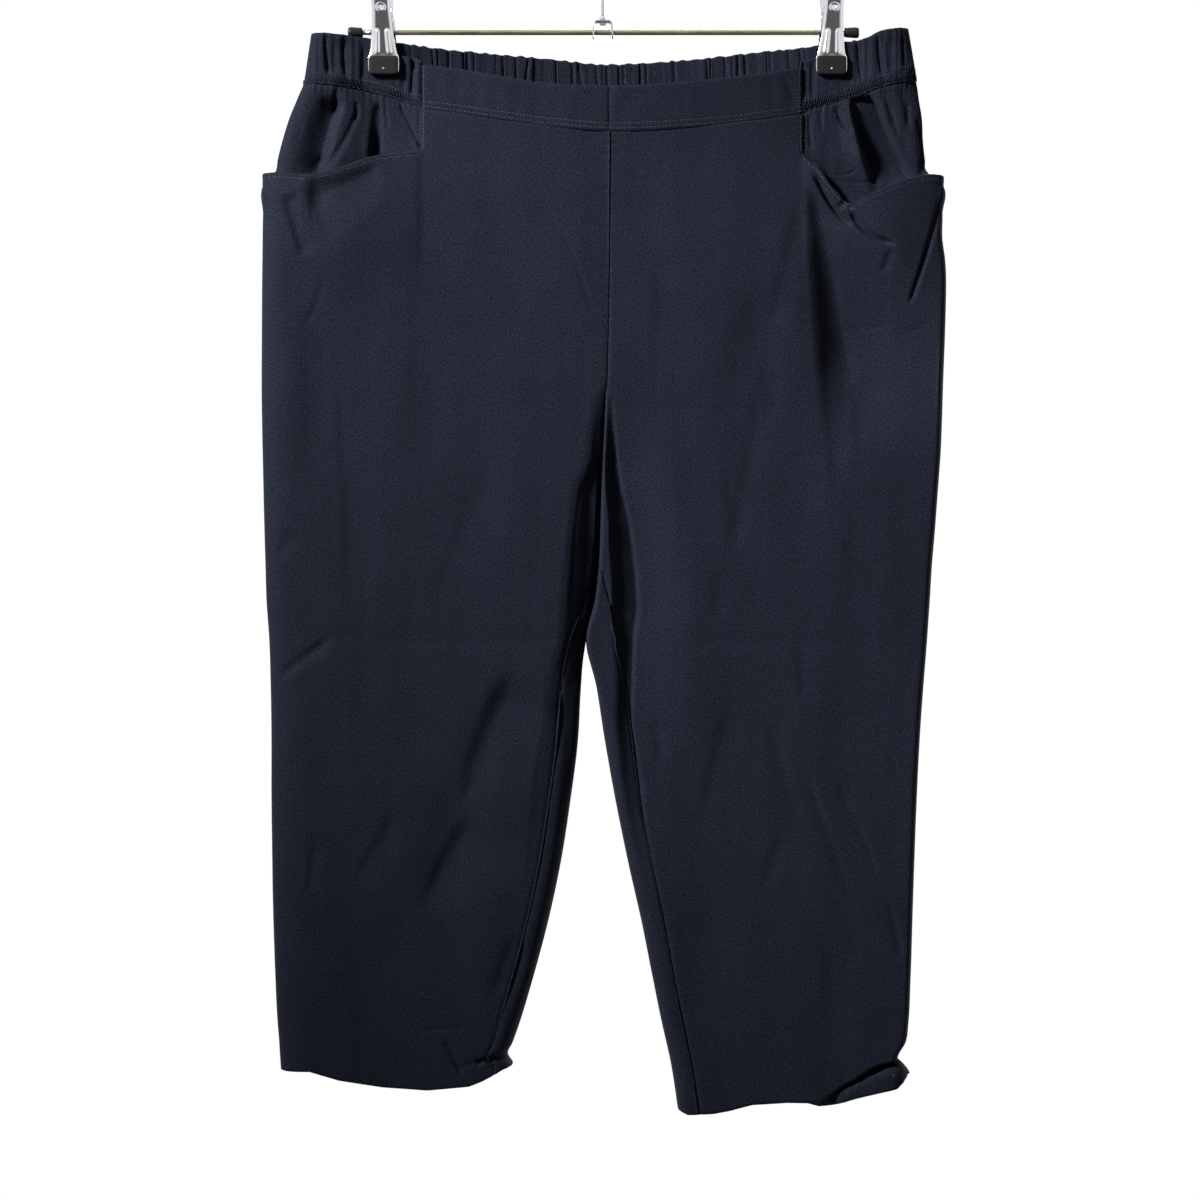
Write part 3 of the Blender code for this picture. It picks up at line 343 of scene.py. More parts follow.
SIDE_CREASES = table(Crease,
    (-222, -80, -221, -100, -217, -121, 1.4, -3.2, "sharp"),
    (-206, -82, -207, -101, -204, -122, 1.4, -3.2, "sharp"),
    (-214, -86, -214, -103, -212, -118, 3, -1.6, "soft"),
    (-191, -90, -191, -106, -192, -124, 1.8, -1.6, "soft"),
    (-160, -96, -159, -112, -161, -130, 2.2, -1.4, "soft"),
    (-155, -96, -153, -104, -151, -114, 1.2, -2.6, "sharp"),
    (-151, -98, -153, -116, -154, -140, 1.4, -3.2, "sharp"),
    (-146, -100, -144, -119, -146, -141, 1.2, -2.6, "sharp"),
    (203, -84, 204, -104, 206, -122, 1.4, -3, "sharp"),
    (219, -80, 220, -101, 223, -122, 1.4, -3.2, "sharp"),
    (228, -84, 228, -101, 230, -116, 2.2, -1.5, "soft"),
    (239, -80, 240, -100, 242, -114, 1.3, -2.8, "sharp"),
    (161, -98, 160, -119, 161, -140, 1.4, -3.4, "sharp"),
    (167, -100, 167, -120, 167, -138, 1.8, -2, "soft"),
    (179, -116, 181, -127, 183, -136, 1.4, -2.2, "sharp"),
    (188, -116, 190, -126, 191, -136, 1.4, -2.2, "sharp"),
)
BAND_CREASES = table(Crease,
    (142, -113, 148, -127, 156, -141, 1.5, -0.9, "sharp"),
    (-55, -123, -52, -134, -49, -149, 1.8, -0.25, "sharp"),
    (61, -128, 64, -139, 64, -149, 1.6, -0.25, "sharp"),
    (-9, -126, -9, -134, -9, -143, 1.4, -0.2, "sharp"),
    (4.8, -118, 4.8, -144, 4.8, -170, 0.9, -1, "sharp"),
)

# Clefts between the gathers on the inside of the back casing: x at the top, lean, depth
Cleft = namedtuple("Cleft", "x lean depth")
INSIDE_CLEFTS = table(Cleft,
    (-226, 2, 1.2), (-214, 1, 0.8), (-203, -1, 1.2), (-190, 0.5, 0.9),
    (-176, 0, 0.7), (-165, 1, 0.9), (-154.4, 1.6, 1.2), (-137.1, 1.6, 0.8),
    (-133.1, 0.6, 1.4), (-124.6, 0.2, 0.8), (-112.6, 0.8, 1.1), (-108.6, 0.6, 0.9),
    (-104, 0.8, 1.1), (-86.4, 1, 1.4), (-81.2, 1, 0.7), (-70.4, 0.6, 0.8),
    (-59.5, -3, 1), (-55.8, -0.4, 1.4), (-38.2, 0.6, 0.8), (-25.2, 0.8, 0.9),
    (-19.3, 3.2, 1.3), (-5.1, 0.8, 1), (-0.6, 0.4, 1.1), (3.6, 0.2, 0.9),
    (12.9, 0.4, 1.2), (16.9, 0.4, 0.7), (30.3, 1, 1.4), (34.6, 0.4, 0.7),
    (57.6, 1.2, 1.4), (83.4, 0.4, 0.9), (86.5, -0.8, 1.3), (98.9, 0.8, 0.8),
    (103.8, 0.4, 0.9), (108.2, 0.4, 1.1), (114.2, 2, 1.2), (131.6, 0.6, 1.3),
    (135.1, 0.4, 0.7), (148.8, 2.2, 1), (157.6, 1.6, 1.2), (161.7, 1, 0.9),
    (176, 0.6, 0.8), (189, 0.6, 0.9), (203, 1, 1.2), (219, 1, 1.1),
    (233, 1, 1),
)

# Upper edge of the fine ribs between the gathering rows
LADDER_TOP = {
    "left": table(Edge,
        (-236.8, -114.6), (-205.7, -117.8), (-176.2, -124.6), (-157.8, -130.2), (-145.1, -134),
    ),
    "right": table(Edge,
        (161.8, -137.2), (173, -133.6), (188.9, -128.4), (203.3, -123.4), (220.8, -116.4),
        (247.1, -109.3),
    ),
}
# Width and stand-off of a clip plate by height
ClipRow = namedtuple("ClipRow", "z half_width out")
CLIP_ROWS = table(ClipRow,
    (-50, 4, 11), (-51, 6, 10.7), (-52.6, 7, 10.2), (-56, 7.4, 9.2),
    (-62, 7.4, 7.8), (-70, 7.8, 6.6), (-76, 8.2, 6.1), (-82, 8.6, 6),
    (-90, 9.6, 6), (-96, 10.4, 6.2), (-99.4, 11.2, 6.4), (-101, 12, 6.6),
    (-104, 12.2, 6.7), (-110, 12.2, 6.7), (-113.2, 11.8, 6.7), (-115, 10.4, 6.7),
)

# Folds with one flat, steep side: from the line the cloth falls on its right hand over w0 mm at
# the start and w1 mm at the end, by steep per mm, and comes back over back times that width
Facet = namedtuple("Facet", "x0 z0 x1 z1 x2 z2 w0 w1 steep back fade", defaults=(0.18,))
FRONT_FACETS = table(Facet,
    (173.6, -431.9, 164.9, -305, 158.6, -195.6, 37, 6, 0.62, 4, 0.42),
    (178.4, -455.7, 173.6, -400.2, 168.9, -320.9, 9, 9, 0.16, 3, 0.4),
    (-241.9, -200.3, -211.7, -195.6, -173.7, -182.9, 17, 5, 0.33, 4, 0.3),
    (-233.1, -230.5, -232.4, -216.2, -233.1, -198.8, 2, 5, 0.14, 4, 0.3),
    (-241.9, -266.9, -249.8, -238.4, -259.3, -214.6, 5, 6, 0.4, 3),
    (-116.6, -698.3, -107.1, -649.9, -81.7, -585.7, 6, 16, 0.27, 6, 0.4),
    (-149.9, -787.1, -134, -742.7, -110.2, -698.3, 4, 13, 0.3, 6, 0.4),
    (-113.4, -693.5, -110.2, -685.6, -105.5, -676.1, 2, 3, 0.3, 3, 0.3),
    (-260.9, -594.4, -241.9, -579.4, -214.9, -560.3, 2.2, 3, 0.7, 3),
    (240.2, -301.8, 251.3, -266.9, 268, -211.4, 2.2, 2.8, 0.9, 1.5),
    (195.8, -240.8, 179.2, -223.3, 164.1, -194, 3.2, 3.2, 1.7, 1.4, 0.2),
    (232.3, -255.8, 208.5, -246.3, 192.7, -225.7, 2.6, 3, 1.7, 1.4, 0.2),
    (198.2, -227.3, 186.3, -217.8, 172, -203.5, 2, 2, 1.2, 1, 0.2),
    (-124.5, -880.7, -116.6, -896.5, -108.7, -910, 2.2, 2.6, 0.9, 1.2),
    (-113.4, -904.5, -94.4, -896.5, -70.6, -891.8, 2, 7, 0.8, 0.2),
    (-151.5, -874.3, -129.3, -872.8, -105.5, -871.2, 2.2, 2.2, 0.4, 1.6),
    (-200.6, -757, -187.9, -733.2, -167.3, -696.7, 4, 7, 0.15, 4),
    (-236.3, -769.7, -235.5, -749.1, -232.4, -728.4, 3, 4, 0.22, 3),
    (-145.1, -531.8, -129.3, -503.2, -102.3, -423.9, 7, 9, 0.06, 3.6),
    (-204.6, -539.7, -210.2, -455.7, -216.5, -360.5, 8, 8, 0.1, 4),
    (123.7, -766.5, 129.2, -742.7, 137.2, -718.9, 3, 4.5, 0.22, 3),
    (78.5, -698.3, 83.2, -661.8, 94.3, -619, 4, 6, 0.2, 4),
    (139.5, -626.9, 148.3, -669.8, 162.5, -711, 4.5, 3.5, 0.26, 3),
    (165.7, -669.8, 181.6, -717.3, 202.2, -772.8, 4, 3, 0.28, 3),
    (187.9, -676.1, 205.4, -714.2, 222.8, -757, 2.6, 2.2, 0.36, 2.6),
    (219.6, -634.9, 229.1, -653.9, 240.2, -677.7, 2.6, 2.2, 0.3, 2.6),
    (229.1, -772.8, 235.5, -793.5, 240.2, -818.8, 3, 3, 0.34, 2.6),
    (99.1, -496.9, 108.6, -431.9, 127.6, -320.9, 4, 6, 0.16, 3),
    (127.6, -320.9, 137.2, -273.3, 153, -214.6, 5, 7, 0.16, 3),
    (170.5, -401.7, 195.8, -435, 232.3, -468.4, 2.2, 2, 0.45, 2.4),
    (190.3, -485.8, 208.5, -503.2, 226, -522.3, 2.6, 2.2, 0.4, 2.6),
    (-111.8, -222.5, -99.1, -243.2, -83.3, -266.9, 2, 2.2, 0.26, 2.4),
    (-75.4, -273.3, -65.8, -289.1, -56.3, -308.2, 2.2, 2, 0.3, 2.4),
    (-30.9, -243.2, -16.7, -273.3, -5.6, -311.4, 2, 2, 0.22, 2.4),
    (-240.3, -549.2, -129.3, -554, -24.6, -554.8, 16, 16, 0.032, 0.2),
    (32.5, -561.9, 124.5, -560.3, 240.2, -560.3, 10, 12, 0.035, 0.2),
    (35.7, -496.1, 76.9, -498.5, 121.3, -500.1, 2, 1.8, 0.16, 1.2),
    (-240.3, -314.5, -230.8, -297.1, -226, -278, 4, 3, 0.14, 2),
    (197.4, -214.6, 192.7, -221, 186.3, -227.3, 2.6, 2.6, 0.8, 1.4),
)
YOKE_FACETS = table(Facet,
    (-248.9, -204.2, -238.5, -159.7, -223.4, -124.7, 19, 15, 0.5, 0.6),
    (-190.8, -188.3, -187.6, -161.3, -184.5, -134.2, 13.5, 6, 0.74, 0.1),
    (-145.5, -178.8, -154.3, -159.7, -166.2, -135.8, 2.4, 2, 1.1, 0.8),
    (-231.4, -196.3, -210.7, -169.2, -196.4, -135.8, 4, 2.4, 0.45, 1.6),
    (-147.1, -177.2, -147.9, -159.7, -148.7, -137.4, 1.6, 1.4, 0.9, 0.5),
    (218.6, -221.7, 203.5, -169.2, 196.4, -131.1, 33, 15, 0.75, 0.15),
    (248.8, -202.6, 250.4, -177.2, 247.2, -147, 5, 4, 0.8, 1),
    (158.2, -178.8, 157.4, -162.9, 159, -143.8, 2, 1.8, 0.9, 0.8),
    (164.6, -177.2, 163, -161.3, 163, -145.4, 2, 1.8, 0.9, 1),
    (188.4, -139, 192.4, -151.7, 201.1, -161.3, 2.4, 2.2, 0.9, 1),
    (177.3, -189.9, 190, -194.7, 204.3, -188.3, 2, 1.6, 0.8, 0.8),
    (180.5, -195.5, 198, -199.4, 225, -198.6, 2.2, 2.6, 0.9, 0.8),
    (190, -216.9, 194.8, -210.6, 210.7, -208.2, 2, 1.6, 0.9, 0.8),
    (177.3, -139, 175.7, -148.6, 177.3, -159.7, 2, 1.8, 0.6, 1.2),
    (228.2, -135.8, 234.5, -151.7, 237.7, -167.6, 2.4, 2, 0.5, 1.4),
    (245.7, -137.4, 245.7, -147, 245.7, -158.1, 2, 2, 0.5, 1.4),
    (-212.3, -132.7, -210.7, -142.2, -212.3, -153.3, 2, 2, 0.5, 1.4),
    (-195.6, -135.8, -194.8, -143.8, -195.6, -153.3, 2, 2, 0.9, 1.2),
    (-172.5, -140.6, -171, -150.2, -171, -161.3, 1.6, 1.6, 0.5, 1.2),
    (217, -221.7, 201.9, -169.2, 195.6, -131.1, 7, 5, 1.5, 4),
    (204.3, -221.7, 189.2, -169.2, 182.8, -131.1, 15, 13, -0.32, 0.15),
)

# The cloth sinks beside the crotch: x of five lines by height and the share of the leg's depth
# that is lost on each, straight in between
Hollow = namedtuple("Hollow", "z x0 x1 x2 x3 x4 s0 s1 s2 s3 s4")
HOLLOWS = {
    "left": table(Hollow,
        (-363.5, 0.8, 1.6, 2.4, 3.2, 3.9, 0, 0, 0, 0, 0),
        (-376.2, -8.7, -4.8, -0.8, 1.6, 3.2, 0, 0.03, 0.08, 0.12, 0.2),
        (-400, -12.7, -8.7, -4, -0.8, 2.4, 0, 0.05, 0.17, 0.24, 0.6),
        (-423.8, -15.1, -10.3, -4.8, -2.4, 0, 0, 0.05, 0.24, 0.29, 1),
        (-447.7, -25.4, -18.3, -10.3, -4, -1.2, 0, 0.07, 0.33, 0.4, 1),
        (-471.5, -27.8, -20.7, -11.1, -4.8, -2, 0, 0.08, 0.39, 0.48, 1),
        (-495.3, -30.2, -23.8, -11.9, -6.4, -3.6, 0, 0.09, 0.46, 0.58, 1),
        (-519.1, -33.4, -27, -13.5, -8.7, -5.6, 0, 0.08, 0.48, 0.58, 1),
        (-542.9, -34.9, -29.4, -16.7, -11.5, -8, 0, 0.08, 0.46, 0.57, 1),
        (-566.7, -35.7, -31, -21.4, -18.3, -15.9, 0, 0.07, 0.36, 0.44, 0.65),
        (-598.5, -46.8, -41.3, -31, -24.6, -21.4, 0, 0.04, 0.2, 0.38, 0.48),
        (-630.2, -47.6, -43.7, -33.4, -28.6, -26.2, 0, 0.04, 0.22, 0.26, 0.32),
        (-677.8, -56.4, -49.2, -40.5, -34.1, -30.2, 0, 0.08, 0.18, 0.22, 0.3),
        (-733.4, -61.1, -54.8, -46.1, -38.1, -34.1, 0, 0.05, 0.08, 0.1, 0.14),
        (-773.1, -65.9, -61.1, -54, -50, -46.8, 0, 0, 0, 0, 0),
    ),
    "right": table(Hollow,
        (-363.5, 2.4, 3.2, 3.9, 4.7, 5.5, 0, 0, 0, 0, 0),
        (-376.2, 1.6, 3.2, 4.7, 7.1, 8.7, 0, 0, 0.03, 0.05, 0.02),
        (-400, 0.8, 2.4, 5.5, 9.1, 10.3, 0, 0, 0.12, 0.18, 0.08),
        (-423.8, -1.6, 0, 5.5, 10.7, 11.9, 0, 0, 0.28, 0.42, 0.2),
        (-447.7, -1.6, 2.4, 7.1, 14.3, 15.9, 0, 0, 0.28, 0.46, 0.24),
        (-471.5, -2.4, 4.7, 10.3, 20.6, 22.2, 0, 0, 0.3, 0.52, 0.3),
        (-495.3, -4, 5.1, 11.9, 23.8, 25.4, 0, 0, 0.36, 0.6, 0.34),
        (-519.1, -6.4, 7.1, 14.3, 26.6, 28.2, 0, 0, 0.36, 0.62, 0.34),
        (-542.9, -8.7, 7.1, 15.1, 27.8, 29.3, 0, 0, 0.36, 0.62, 0.34),
        (-566.7, -11.9, 8.7, 18.2, 24.2, 25.8, 0, 0, 0.38, 0.5, 0.3),
        (-598.5, -8.7, 11.1, 17.4, 23.4, 25.4, 0, 0, 0.3, 0.42, 0.26),
        (-630.2, -2.4, 10.3, 16.6, 22.2, 23.8, 0, 0, 0.26, 0.36, 0.22),
        (-677.8, 6.3, 13.5, 19.8, 28.6, 32.5, 0, 0, 0.18, 0.3, 0.16),
        (-725.4, 15.9, 19.8, 26.2, 33.3, 36.5, 0, 0, 0.1, 0.14, 0.06),
        (-773.1, 26.2, 30.1, 34.1, 40.5, 45.2, 0, 0, 0, 0, 0),
    ),
}

GRIDS = {}               # finished outer surfaces by piece, for what is sewn on them


# ---------------------------------------------------------------- colour and nodes

def linear(code):
    """Linear colour of an sRGB hex code."""
    srgb = [int(code[place:place + 2], 16) / 255.0 for place in (1, 3, 5)]
    rgb = [c / 12.92 if c <= 0.04045 else ((c + 0.055) / 1.055) ** 2.4 for c in srgb]
    return (*rgb, 1.0)


def add_node(tree, kind, inputs=None, **settings):
    """Add a node, apply its settings, and link or set each named input."""
    added = tree.nodes.new(kind)
    for name, value in settings.items():
        setattr(added, name, value)
    for name, value in (inputs or {}).items():
        if isinstance(value, bpy.types.NodeSocket):
            tree.links.new(value, added.inputs[name])
        else:
            added.inputs[name].default_value = value
    return added


def start_material(name, colour, roughness, metallic=0.0):
    """Return a material, its tree and its Principled shader with plain values set."""
    material = bpy.data.materials.new(name)
    material.use_nodes = True
    tree = material.node_tree
    shader = tree.nodes["Principled BSDF"]
    shader.inputs["Base Color"].default_value = colour
    shader.inputs["Roughness"].default_value = roughness
    shader.inputs["Metallic"].default_value = metallic
    material.diffuse_color = colour
    return material, tree, shader


def shade_by(tree, shader, colour, source, span, tones):
    """Multiply a colour by a pattern: its values over span become the given tones."""
    tone = add_node(tree, "ShaderNodeMapRange", {
        "Value": source, "From Min": span[0], "From Max": span[1],
        "To Min": tones[0], "To Max": tones[1]})
    tinted = add_node(tree, "ShaderNodeVectorMath", {
        0: colour[:3], 1: tone.outputs[0]}, operation="MULTIPLY")
    tree.links.new(tinted.outputs[0], shader.inputs["Base Color"])


def raise_by(tree, shader, source, strength, depth):
    """Raise the surface by a pattern, depth in metres."""
    bump = add_node(tree, "ShaderNodeBump", {
        "Height": source, "Strength": strength, "Distance": depth})
    tree.links.new(bump.outputs["Normal"], shader.inputs["Normal"])


def woven_poplin(name, colour, lint_share):
    """Stretch poplin, plain woven from fine slubby yarn, matt with a faint nap.

    The eye sees a dry dark cloth whose grain breaks into short lines along and across, with
    a few pale specks of lint: lint_share of the cells, 14 mm wide, hold one. The yarns lie
    0.35 mm apart, too fine to show, so the grain is drawn at about 1 to 2 mm.
    """
    material, tree, shader = start_material(name, colour, 0.74)
    weave = add_node(tree, "ShaderNodeUVMap", uv_map="weave").outputs["UV"]
    grains = []
    for size in ((980.0, 560.0, 1.0), (560.0, 980.0, 1.0)):
        grain = add_node(tree, "ShaderNodeMapping", {"Vector": weave, "Scale": size})
        noise = add_node(tree, "ShaderNodeTexNoise", {
            "Vector": grain.outputs["Vector"], "Scale": 1.0, "Detail": 1.5, "Roughness": 0.6})
        grains.append(noise.outputs["Fac"])
    both = add_node(tree, "ShaderNodeMath", {0: grains[0], 1: grains[1]}, operation="ADD")
    cloudy = add_node(tree, "ShaderNodeTexNoise", {
        "Vector": weave, "Scale": 22.0, "Detail": 3.0, "Roughness": 0.55})
    tone = add_node(tree, "ShaderNodeMapRange", {
        "Value": both.outputs[0], "From Min": 0.62, "From Max": 1.38,
        "To Min": 0.1, "To Max": 1.9})
    mottle = add_node(tree, "ShaderNodeMapRange", {
        "Value": cloudy.outputs["Fac"], "From Min": 0.3, "From Max": 0.7,
        "To Min": 0.95, "To Max": 1.05})
    factor = add_node(tree, "ShaderNodeMath", {
        0: tone.outputs[0], 1: mottle.outputs[0]}, operation="MULTIPLY")
    tinted = add_node(tree, "ShaderNodeVectorMath", {
        0: colour[:3], 1: factor.outputs[0]}, operation="MULTIPLY")
    speck = add_node(tree, "ShaderNodeTexVoronoi", {
        "Vector": weave, "Scale": 70.0, "Randomness": 1.0})
    near = add_node(tree, "ShaderNodeMath", {
        0: speck.outputs["Distance"], 1: 0.052}, operation="LESS_THAN")
    parts = add_node(tree, "ShaderNodeSeparateColor", {0: speck.outputs["Color"]})
    rare = add_node(tree, "ShaderNodeMath", {0: parts.outputs[0], 1: lint_share},
                    operation="LESS_THAN")
    lint = add_node(tree, "ShaderNodeMath", {0: near.outputs[0], 1: rare.outputs[0]},
                    operation="MULTIPLY")
    mixed = add_node(tree, "ShaderNodeMix", {
        "Factor": lint.outputs[0], 6: tinted.outputs[0], 7: linear("#6e7080")},
        data_type="RGBA")
    tree.links.new(mixed.outputs[2], shader.inputs["Base Color"])
    raise_by(tree, shader, both.outputs[0], 0.35, 0.00025)
    shader.inputs["Specular IOR Level"].default_value = 0.05
    shader.inputs["Sheen Weight"].default_value = 0.08
    shader.inputs["Sheen Roughness"].default_value = 0.42
    shader.inputs["Sheen Tint"].default_value = linear("#b8b0b8")
    return material


def spun_thread(name, colour):
    """Polyester sewing thread, two-ply and waxed: slightly glossier and paler than the cloth."""
    material, tree, shader = start_material(name, colour, 0.5)
    place = add_node(tree, "ShaderNodeTexCoord").outputs["Object"]
    ply = add_node(tree, "ShaderNodeTexNoise", {"Vector": place, "Scale": 2600.0, "Detail": 1.0})
    shade_by(tree, shader, colour, ply.outputs["Fac"], (0.3, 0.7), (0.7, 1.25))
    shader.inputs["Sheen Weight"].default_value = 0.3
    return material


def plated_metal(name, colour, roughness, streak, grain):
    """Plated or drawn metal: streak gives the run of its marks on each axis, per metre.

    The eye sees sharp reflections broken by faint rubbed lines, duller where it was handled.
    """
    material, tree, shader = start_material(name, colour, roughness, 1.0)
    place = add_node(tree, "ShaderNodeTexCoord").outputs["Object"]
    run = add_node(tree, "ShaderNodeMapping", {"Vector": place, "Scale": streak})
    marks = add_node(tree, "ShaderNodeTexNoise", {
        "Vector": run.outputs["Vector"], "Scale": 1.0, "Detail": 4.0,
        "Roughness": 0.62}).outputs["Fac"]
    dull = add_node(tree, "ShaderNodeMapRange", {
        "Value": marks, "From Min": 0.3, "From Max": 0.75,
        "To Min": roughness * 0.7, "To Max": roughness * 1.7})
    tree.links.new(dull.outputs[0], shader.inputs["Roughness"])
    shade_by(tree, shader, colour, marks, (0.25, 0.75), (1.0 - grain, 1.0 + 0.4 * grain))
    raise_by(tree, shader, marks, 0.08, 0.0001)
    return material


def moulded_polymer(name, colour, roughness, grit):
    """Moulded plastic or rubber with a fine spark-eroded grain; grit is grains per metre.

    The eye sees a soft even black whose highlight breaks up at its edges.
    """
    material, tree, shader = start_material(name, colour, roughness)
    shader.inputs["Specular IOR Level"].default_value = 0.2
    place = add_node(tree, "ShaderNodeTexCoord").outputs["Object"]
    grain = add_node(tree, "ShaderNodeTexNoise", {
        "Vector": place, "Scale": grit, "Detail": 3.0}).outputs["Fac"]
    shade_by(tree, shader, colour, grain, (0.3, 0.7), (0.8, 1.3))
    raise_by(tree, shader, grain, 0.3, 0.0001)
    return material


# ---------------------------------------------------------------- reading tables and curves

def smooth_at(at, stations, values):
    """Hermite curve through (station, value) points with averaged slopes, flat past its ends."""
    order = np.argsort(stations)
    known = np.asarray(stations, dtype=float)[order]
    value = np.asarray(values, dtype=float)[order]
    slope = np.gradient(value, known)
    at = np.clip(at, known[0], known[-1])
    cell = np.clip(np.searchsorted(known, at, side="right") - 1, 0, len(known) - 2)
    span = known[cell + 1] - known[cell]
    t = (at - known[cell]) / span
    start = (2 * t**3 - 3 * t**2 + 1) * value[cell] + (t**3 - 2 * t**2 + t) * span * slope[cell]
    end = (3 * t**2 - 2 * t**3) * value[cell + 1] + (t**3 - t**2) * span * slope[cell + 1]
    return start + end


def read(rows, field, at):
    """Read a named column of a table smoothly."""
    return smooth_at(at, [row[0] for row in rows], [getattr(row, field) for row in rows])


def read_straight(rows, field, at):
    """Read a named column by straight lines, for an edge with corners."""
    rows = sorted(rows)
    return np.interp(at, [row[0] for row in rows], [getattr(row, field) for row in rows])


def step(value, low, high):
    """Smooth step: 3t^2 - 2t^3 between low and high."""
    t = np.clip((value - low) / (high - low), 0.0, 1.0)
    return t * t * (3.0 - 2.0 * t)


def round_end(distance, zone):
    """Quarter ellipse that rises from 0 at an edge to 1 at the end of its zone."""
    rest = 1.0 - np.clip(distance / zone, 0.0, 1.0)
    return np.sqrt(np.maximum(1.0 - rest * rest, 0.0))


def spaced(*stops):
    """Positions from stop to stop, each stretch split evenly into steps of about its size."""
    parts = []
    for (start, size), (end, _) in zip(stops, stops[1:]):
        count = max(int(round(abs(end - start) / size)), 1)
        parts.append(np.linspace(start, end, count, endpoint=False))
    return np.concatenate(parts + [np.array([stops[-1][0]])])


# ---------------------------------------------------------------- relief

def fold_height(folds, x, z):
    """Sum of Gaussian ridges and troughs along straight lines, each fading at its two ends."""
    total = np.zeros_like(x)
    for fold in folds:
        along = np.array((fold.x1 - fold.x0, fold.z1 - fold.z0))
        length = math.hypot(*along)
        along = along / length
        t = ((x - fold.x0) * along[0] + (z - fold.z0) * along[1]) / length
        side = (x - fold.x0) * along[1] - (z - fold.z0) * along[0]
        ends = step(t, -0.15, 0.25) * (1.0 - step(t, 0.75, 1.15))
        total = total + fold.height * ends * np.exp(-((side / fold.width) ** 2))
    return total


REACH = {"soft": 7.0, "sharp": 12.0}    # how many widths away a crease still counts
LIT_FROM = (-0.55, 0.84)                # x and z of the way to the light


def crease_profile(kind, side, width):
    """Height across a crease, steep on the near side and easy on the far one.

    A soft one is a Gaussian and a sharp one an exponential, both 2.4 times as wide beyond.
    """
    spread = np.abs(side) / np.where(side > 0.0, 2.4 * width, width)
    return np.exp(-(spread**2)) if kind == "soft" else np.exp(-spread)


def facet_profile(side, width, steep, back):
    """A straight fall over the width, then an eased way back over back times the width."""
    fall = np.clip(side / width, 0.0, 1.0)
    fall = fall - 0.06 * np.sin(2.0 * math.pi * fall)
    return -steep * width * fall * (1.0 - step(side, width, width * (1.0 + back)))


def trace(crease, x, z, reach):
    """Points near a quadratic curve: their numbers, run along it and signed distance from it."""
    t = np.linspace(0.0, 1.0, 13)
    pull_x = 2.0 * crease.x1 - 0.5 * (crease.x0 + crease.x2)
    pull_z = 2.0 * crease.z1 - 0.5 * (crease.z0 + crease.z2)
    line_x = (1 - t) ** 2 * crease.x0 + 2 * t * (1 - t) * pull_x + t**2 * crease.x2
    line_z = (1 - t) ** 2 * crease.z0 + 2 * t * (1 - t) * pull_z + t**2 * crease.z2
    near = np.flatnonzero(
        (x > line_x.min() - reach) & (x < line_x.max() + reach)
        & (z > line_z.min() - reach) & (z < line_z.max() + reach))
    px, pz = x[near, None], z[near, None]
    dx, dz = np.diff(line_x), np.diff(line_z)
    share = ((px - line_x[:-1]) * dx + (pz - line_z[:-1]) * dz) / (dx**2 + dz**2)
    share = np.clip(share, 0.0, 1.0)
    off_x = px - (line_x[:-1] + share * dx)
    off_z = pz - (line_z[:-1] + share * dz)
    apart = off_x**2 + off_z**2
    pick = np.arange(len(near)), np.argmin(apart, axis=1) if near.size else np.array([], int)
    along = (pick[1] + share[pick]) / (len(t) - 1)
    hand = np.where((off_x * dz - off_z * dx)[pick] > 0.0, 1.0, -1.0)
    return near, along, hand * np.sqrt(apart[pick])


def crease_relief(creases, x, z):
    """Sum of creases, each read by the signed distance from its curve, away from the light."""
    total = np.zeros(x.size)
    for crease in creases:
        near, along, side = trace(crease, x.ravel(), z.ravel(), REACH[crease.kind] * crease.width)
        right = crease.z2 - crease.z0, crease.x0 - crease.x2
        if right[0] * LIT_FROM[0] + right[1] * LIT_FROM[1] > 0.0:
            side = -side
        ends = step(along, 0.0, 0.3) * (1.0 - step(along, 0.7, 1.0))
        total[near] += crease.height * ends * crease_profile(crease.kind, side, crease.width)
    return total.reshape(x.shape)


def facet_relief(facets, x, z):
    """Sum of facets; their depth follows their width, which runs from w0 to w1."""
    total = np.zeros(x.size)
    for facet in facets:
        widest = max(facet.w0, facet.w1)
        near, along, side = trace(facet, x.ravel(), z.ravel(), widest * (1.1 + facet.back))
        width = facet.w0 + (facet.w1 - facet.w0) * along
        ends = step(along, 0.0, facet.fade) * (1.0 - step(along, 0.82, 1.0))
        total[near] += ends * facet_profile(side, width, facet.steep, facet.back)
    return total.reshape(x.shape)


DRIFT_WAVES = 7          # of each length
DRIFT_SHARE = 2.6        # divides their height, as they rarely add up


def drift(x, z, seed, sizes):
    """Sum of sine waves of the given (length, height) at seeded angles, mostly running down."""
    draw = np.random.default_rng(seed)
    total = np.zeros_like(x)
    for length, height in sizes:
        for _ in range(DRIFT_WAVES):
            angle = draw.normal(0.0, 0.55)
            turn = draw.uniform(0.0, 2.0 * math.pi)
            pitch = length * draw.uniform(0.7, 1.4)
            across = x * math.cos(angle) + z * math.sin(angle) * 0.45
            total += height / DRIFT_SHARE * np.sin(2.0 * math.pi * across / pitch + turn)
    return total


def gather_wave(x, first, last, count):
    """Irregular gathers: a raised cosine whose phase runs unevenly along the casing."""
    phase = (x - first) / (last - first) * count
    phase = phase + 0.22 * np.sin(0.9 * phase) + 0.13 * np.sin(2.3 * phase + 1.0)
    size = 0.8 + 0.2 * np.sin(1.7 * phase)
    return size * (0.5 - 0.5 * np.cos(2.0 * math.pi * phase))


# ---------------------------------------------------------------- form of the garment

def side_sign(leg):
    """1 on the viewer's left, where inwards is +X, and -1 on the right."""
    return 1.0 if leg == "left" else -1.0


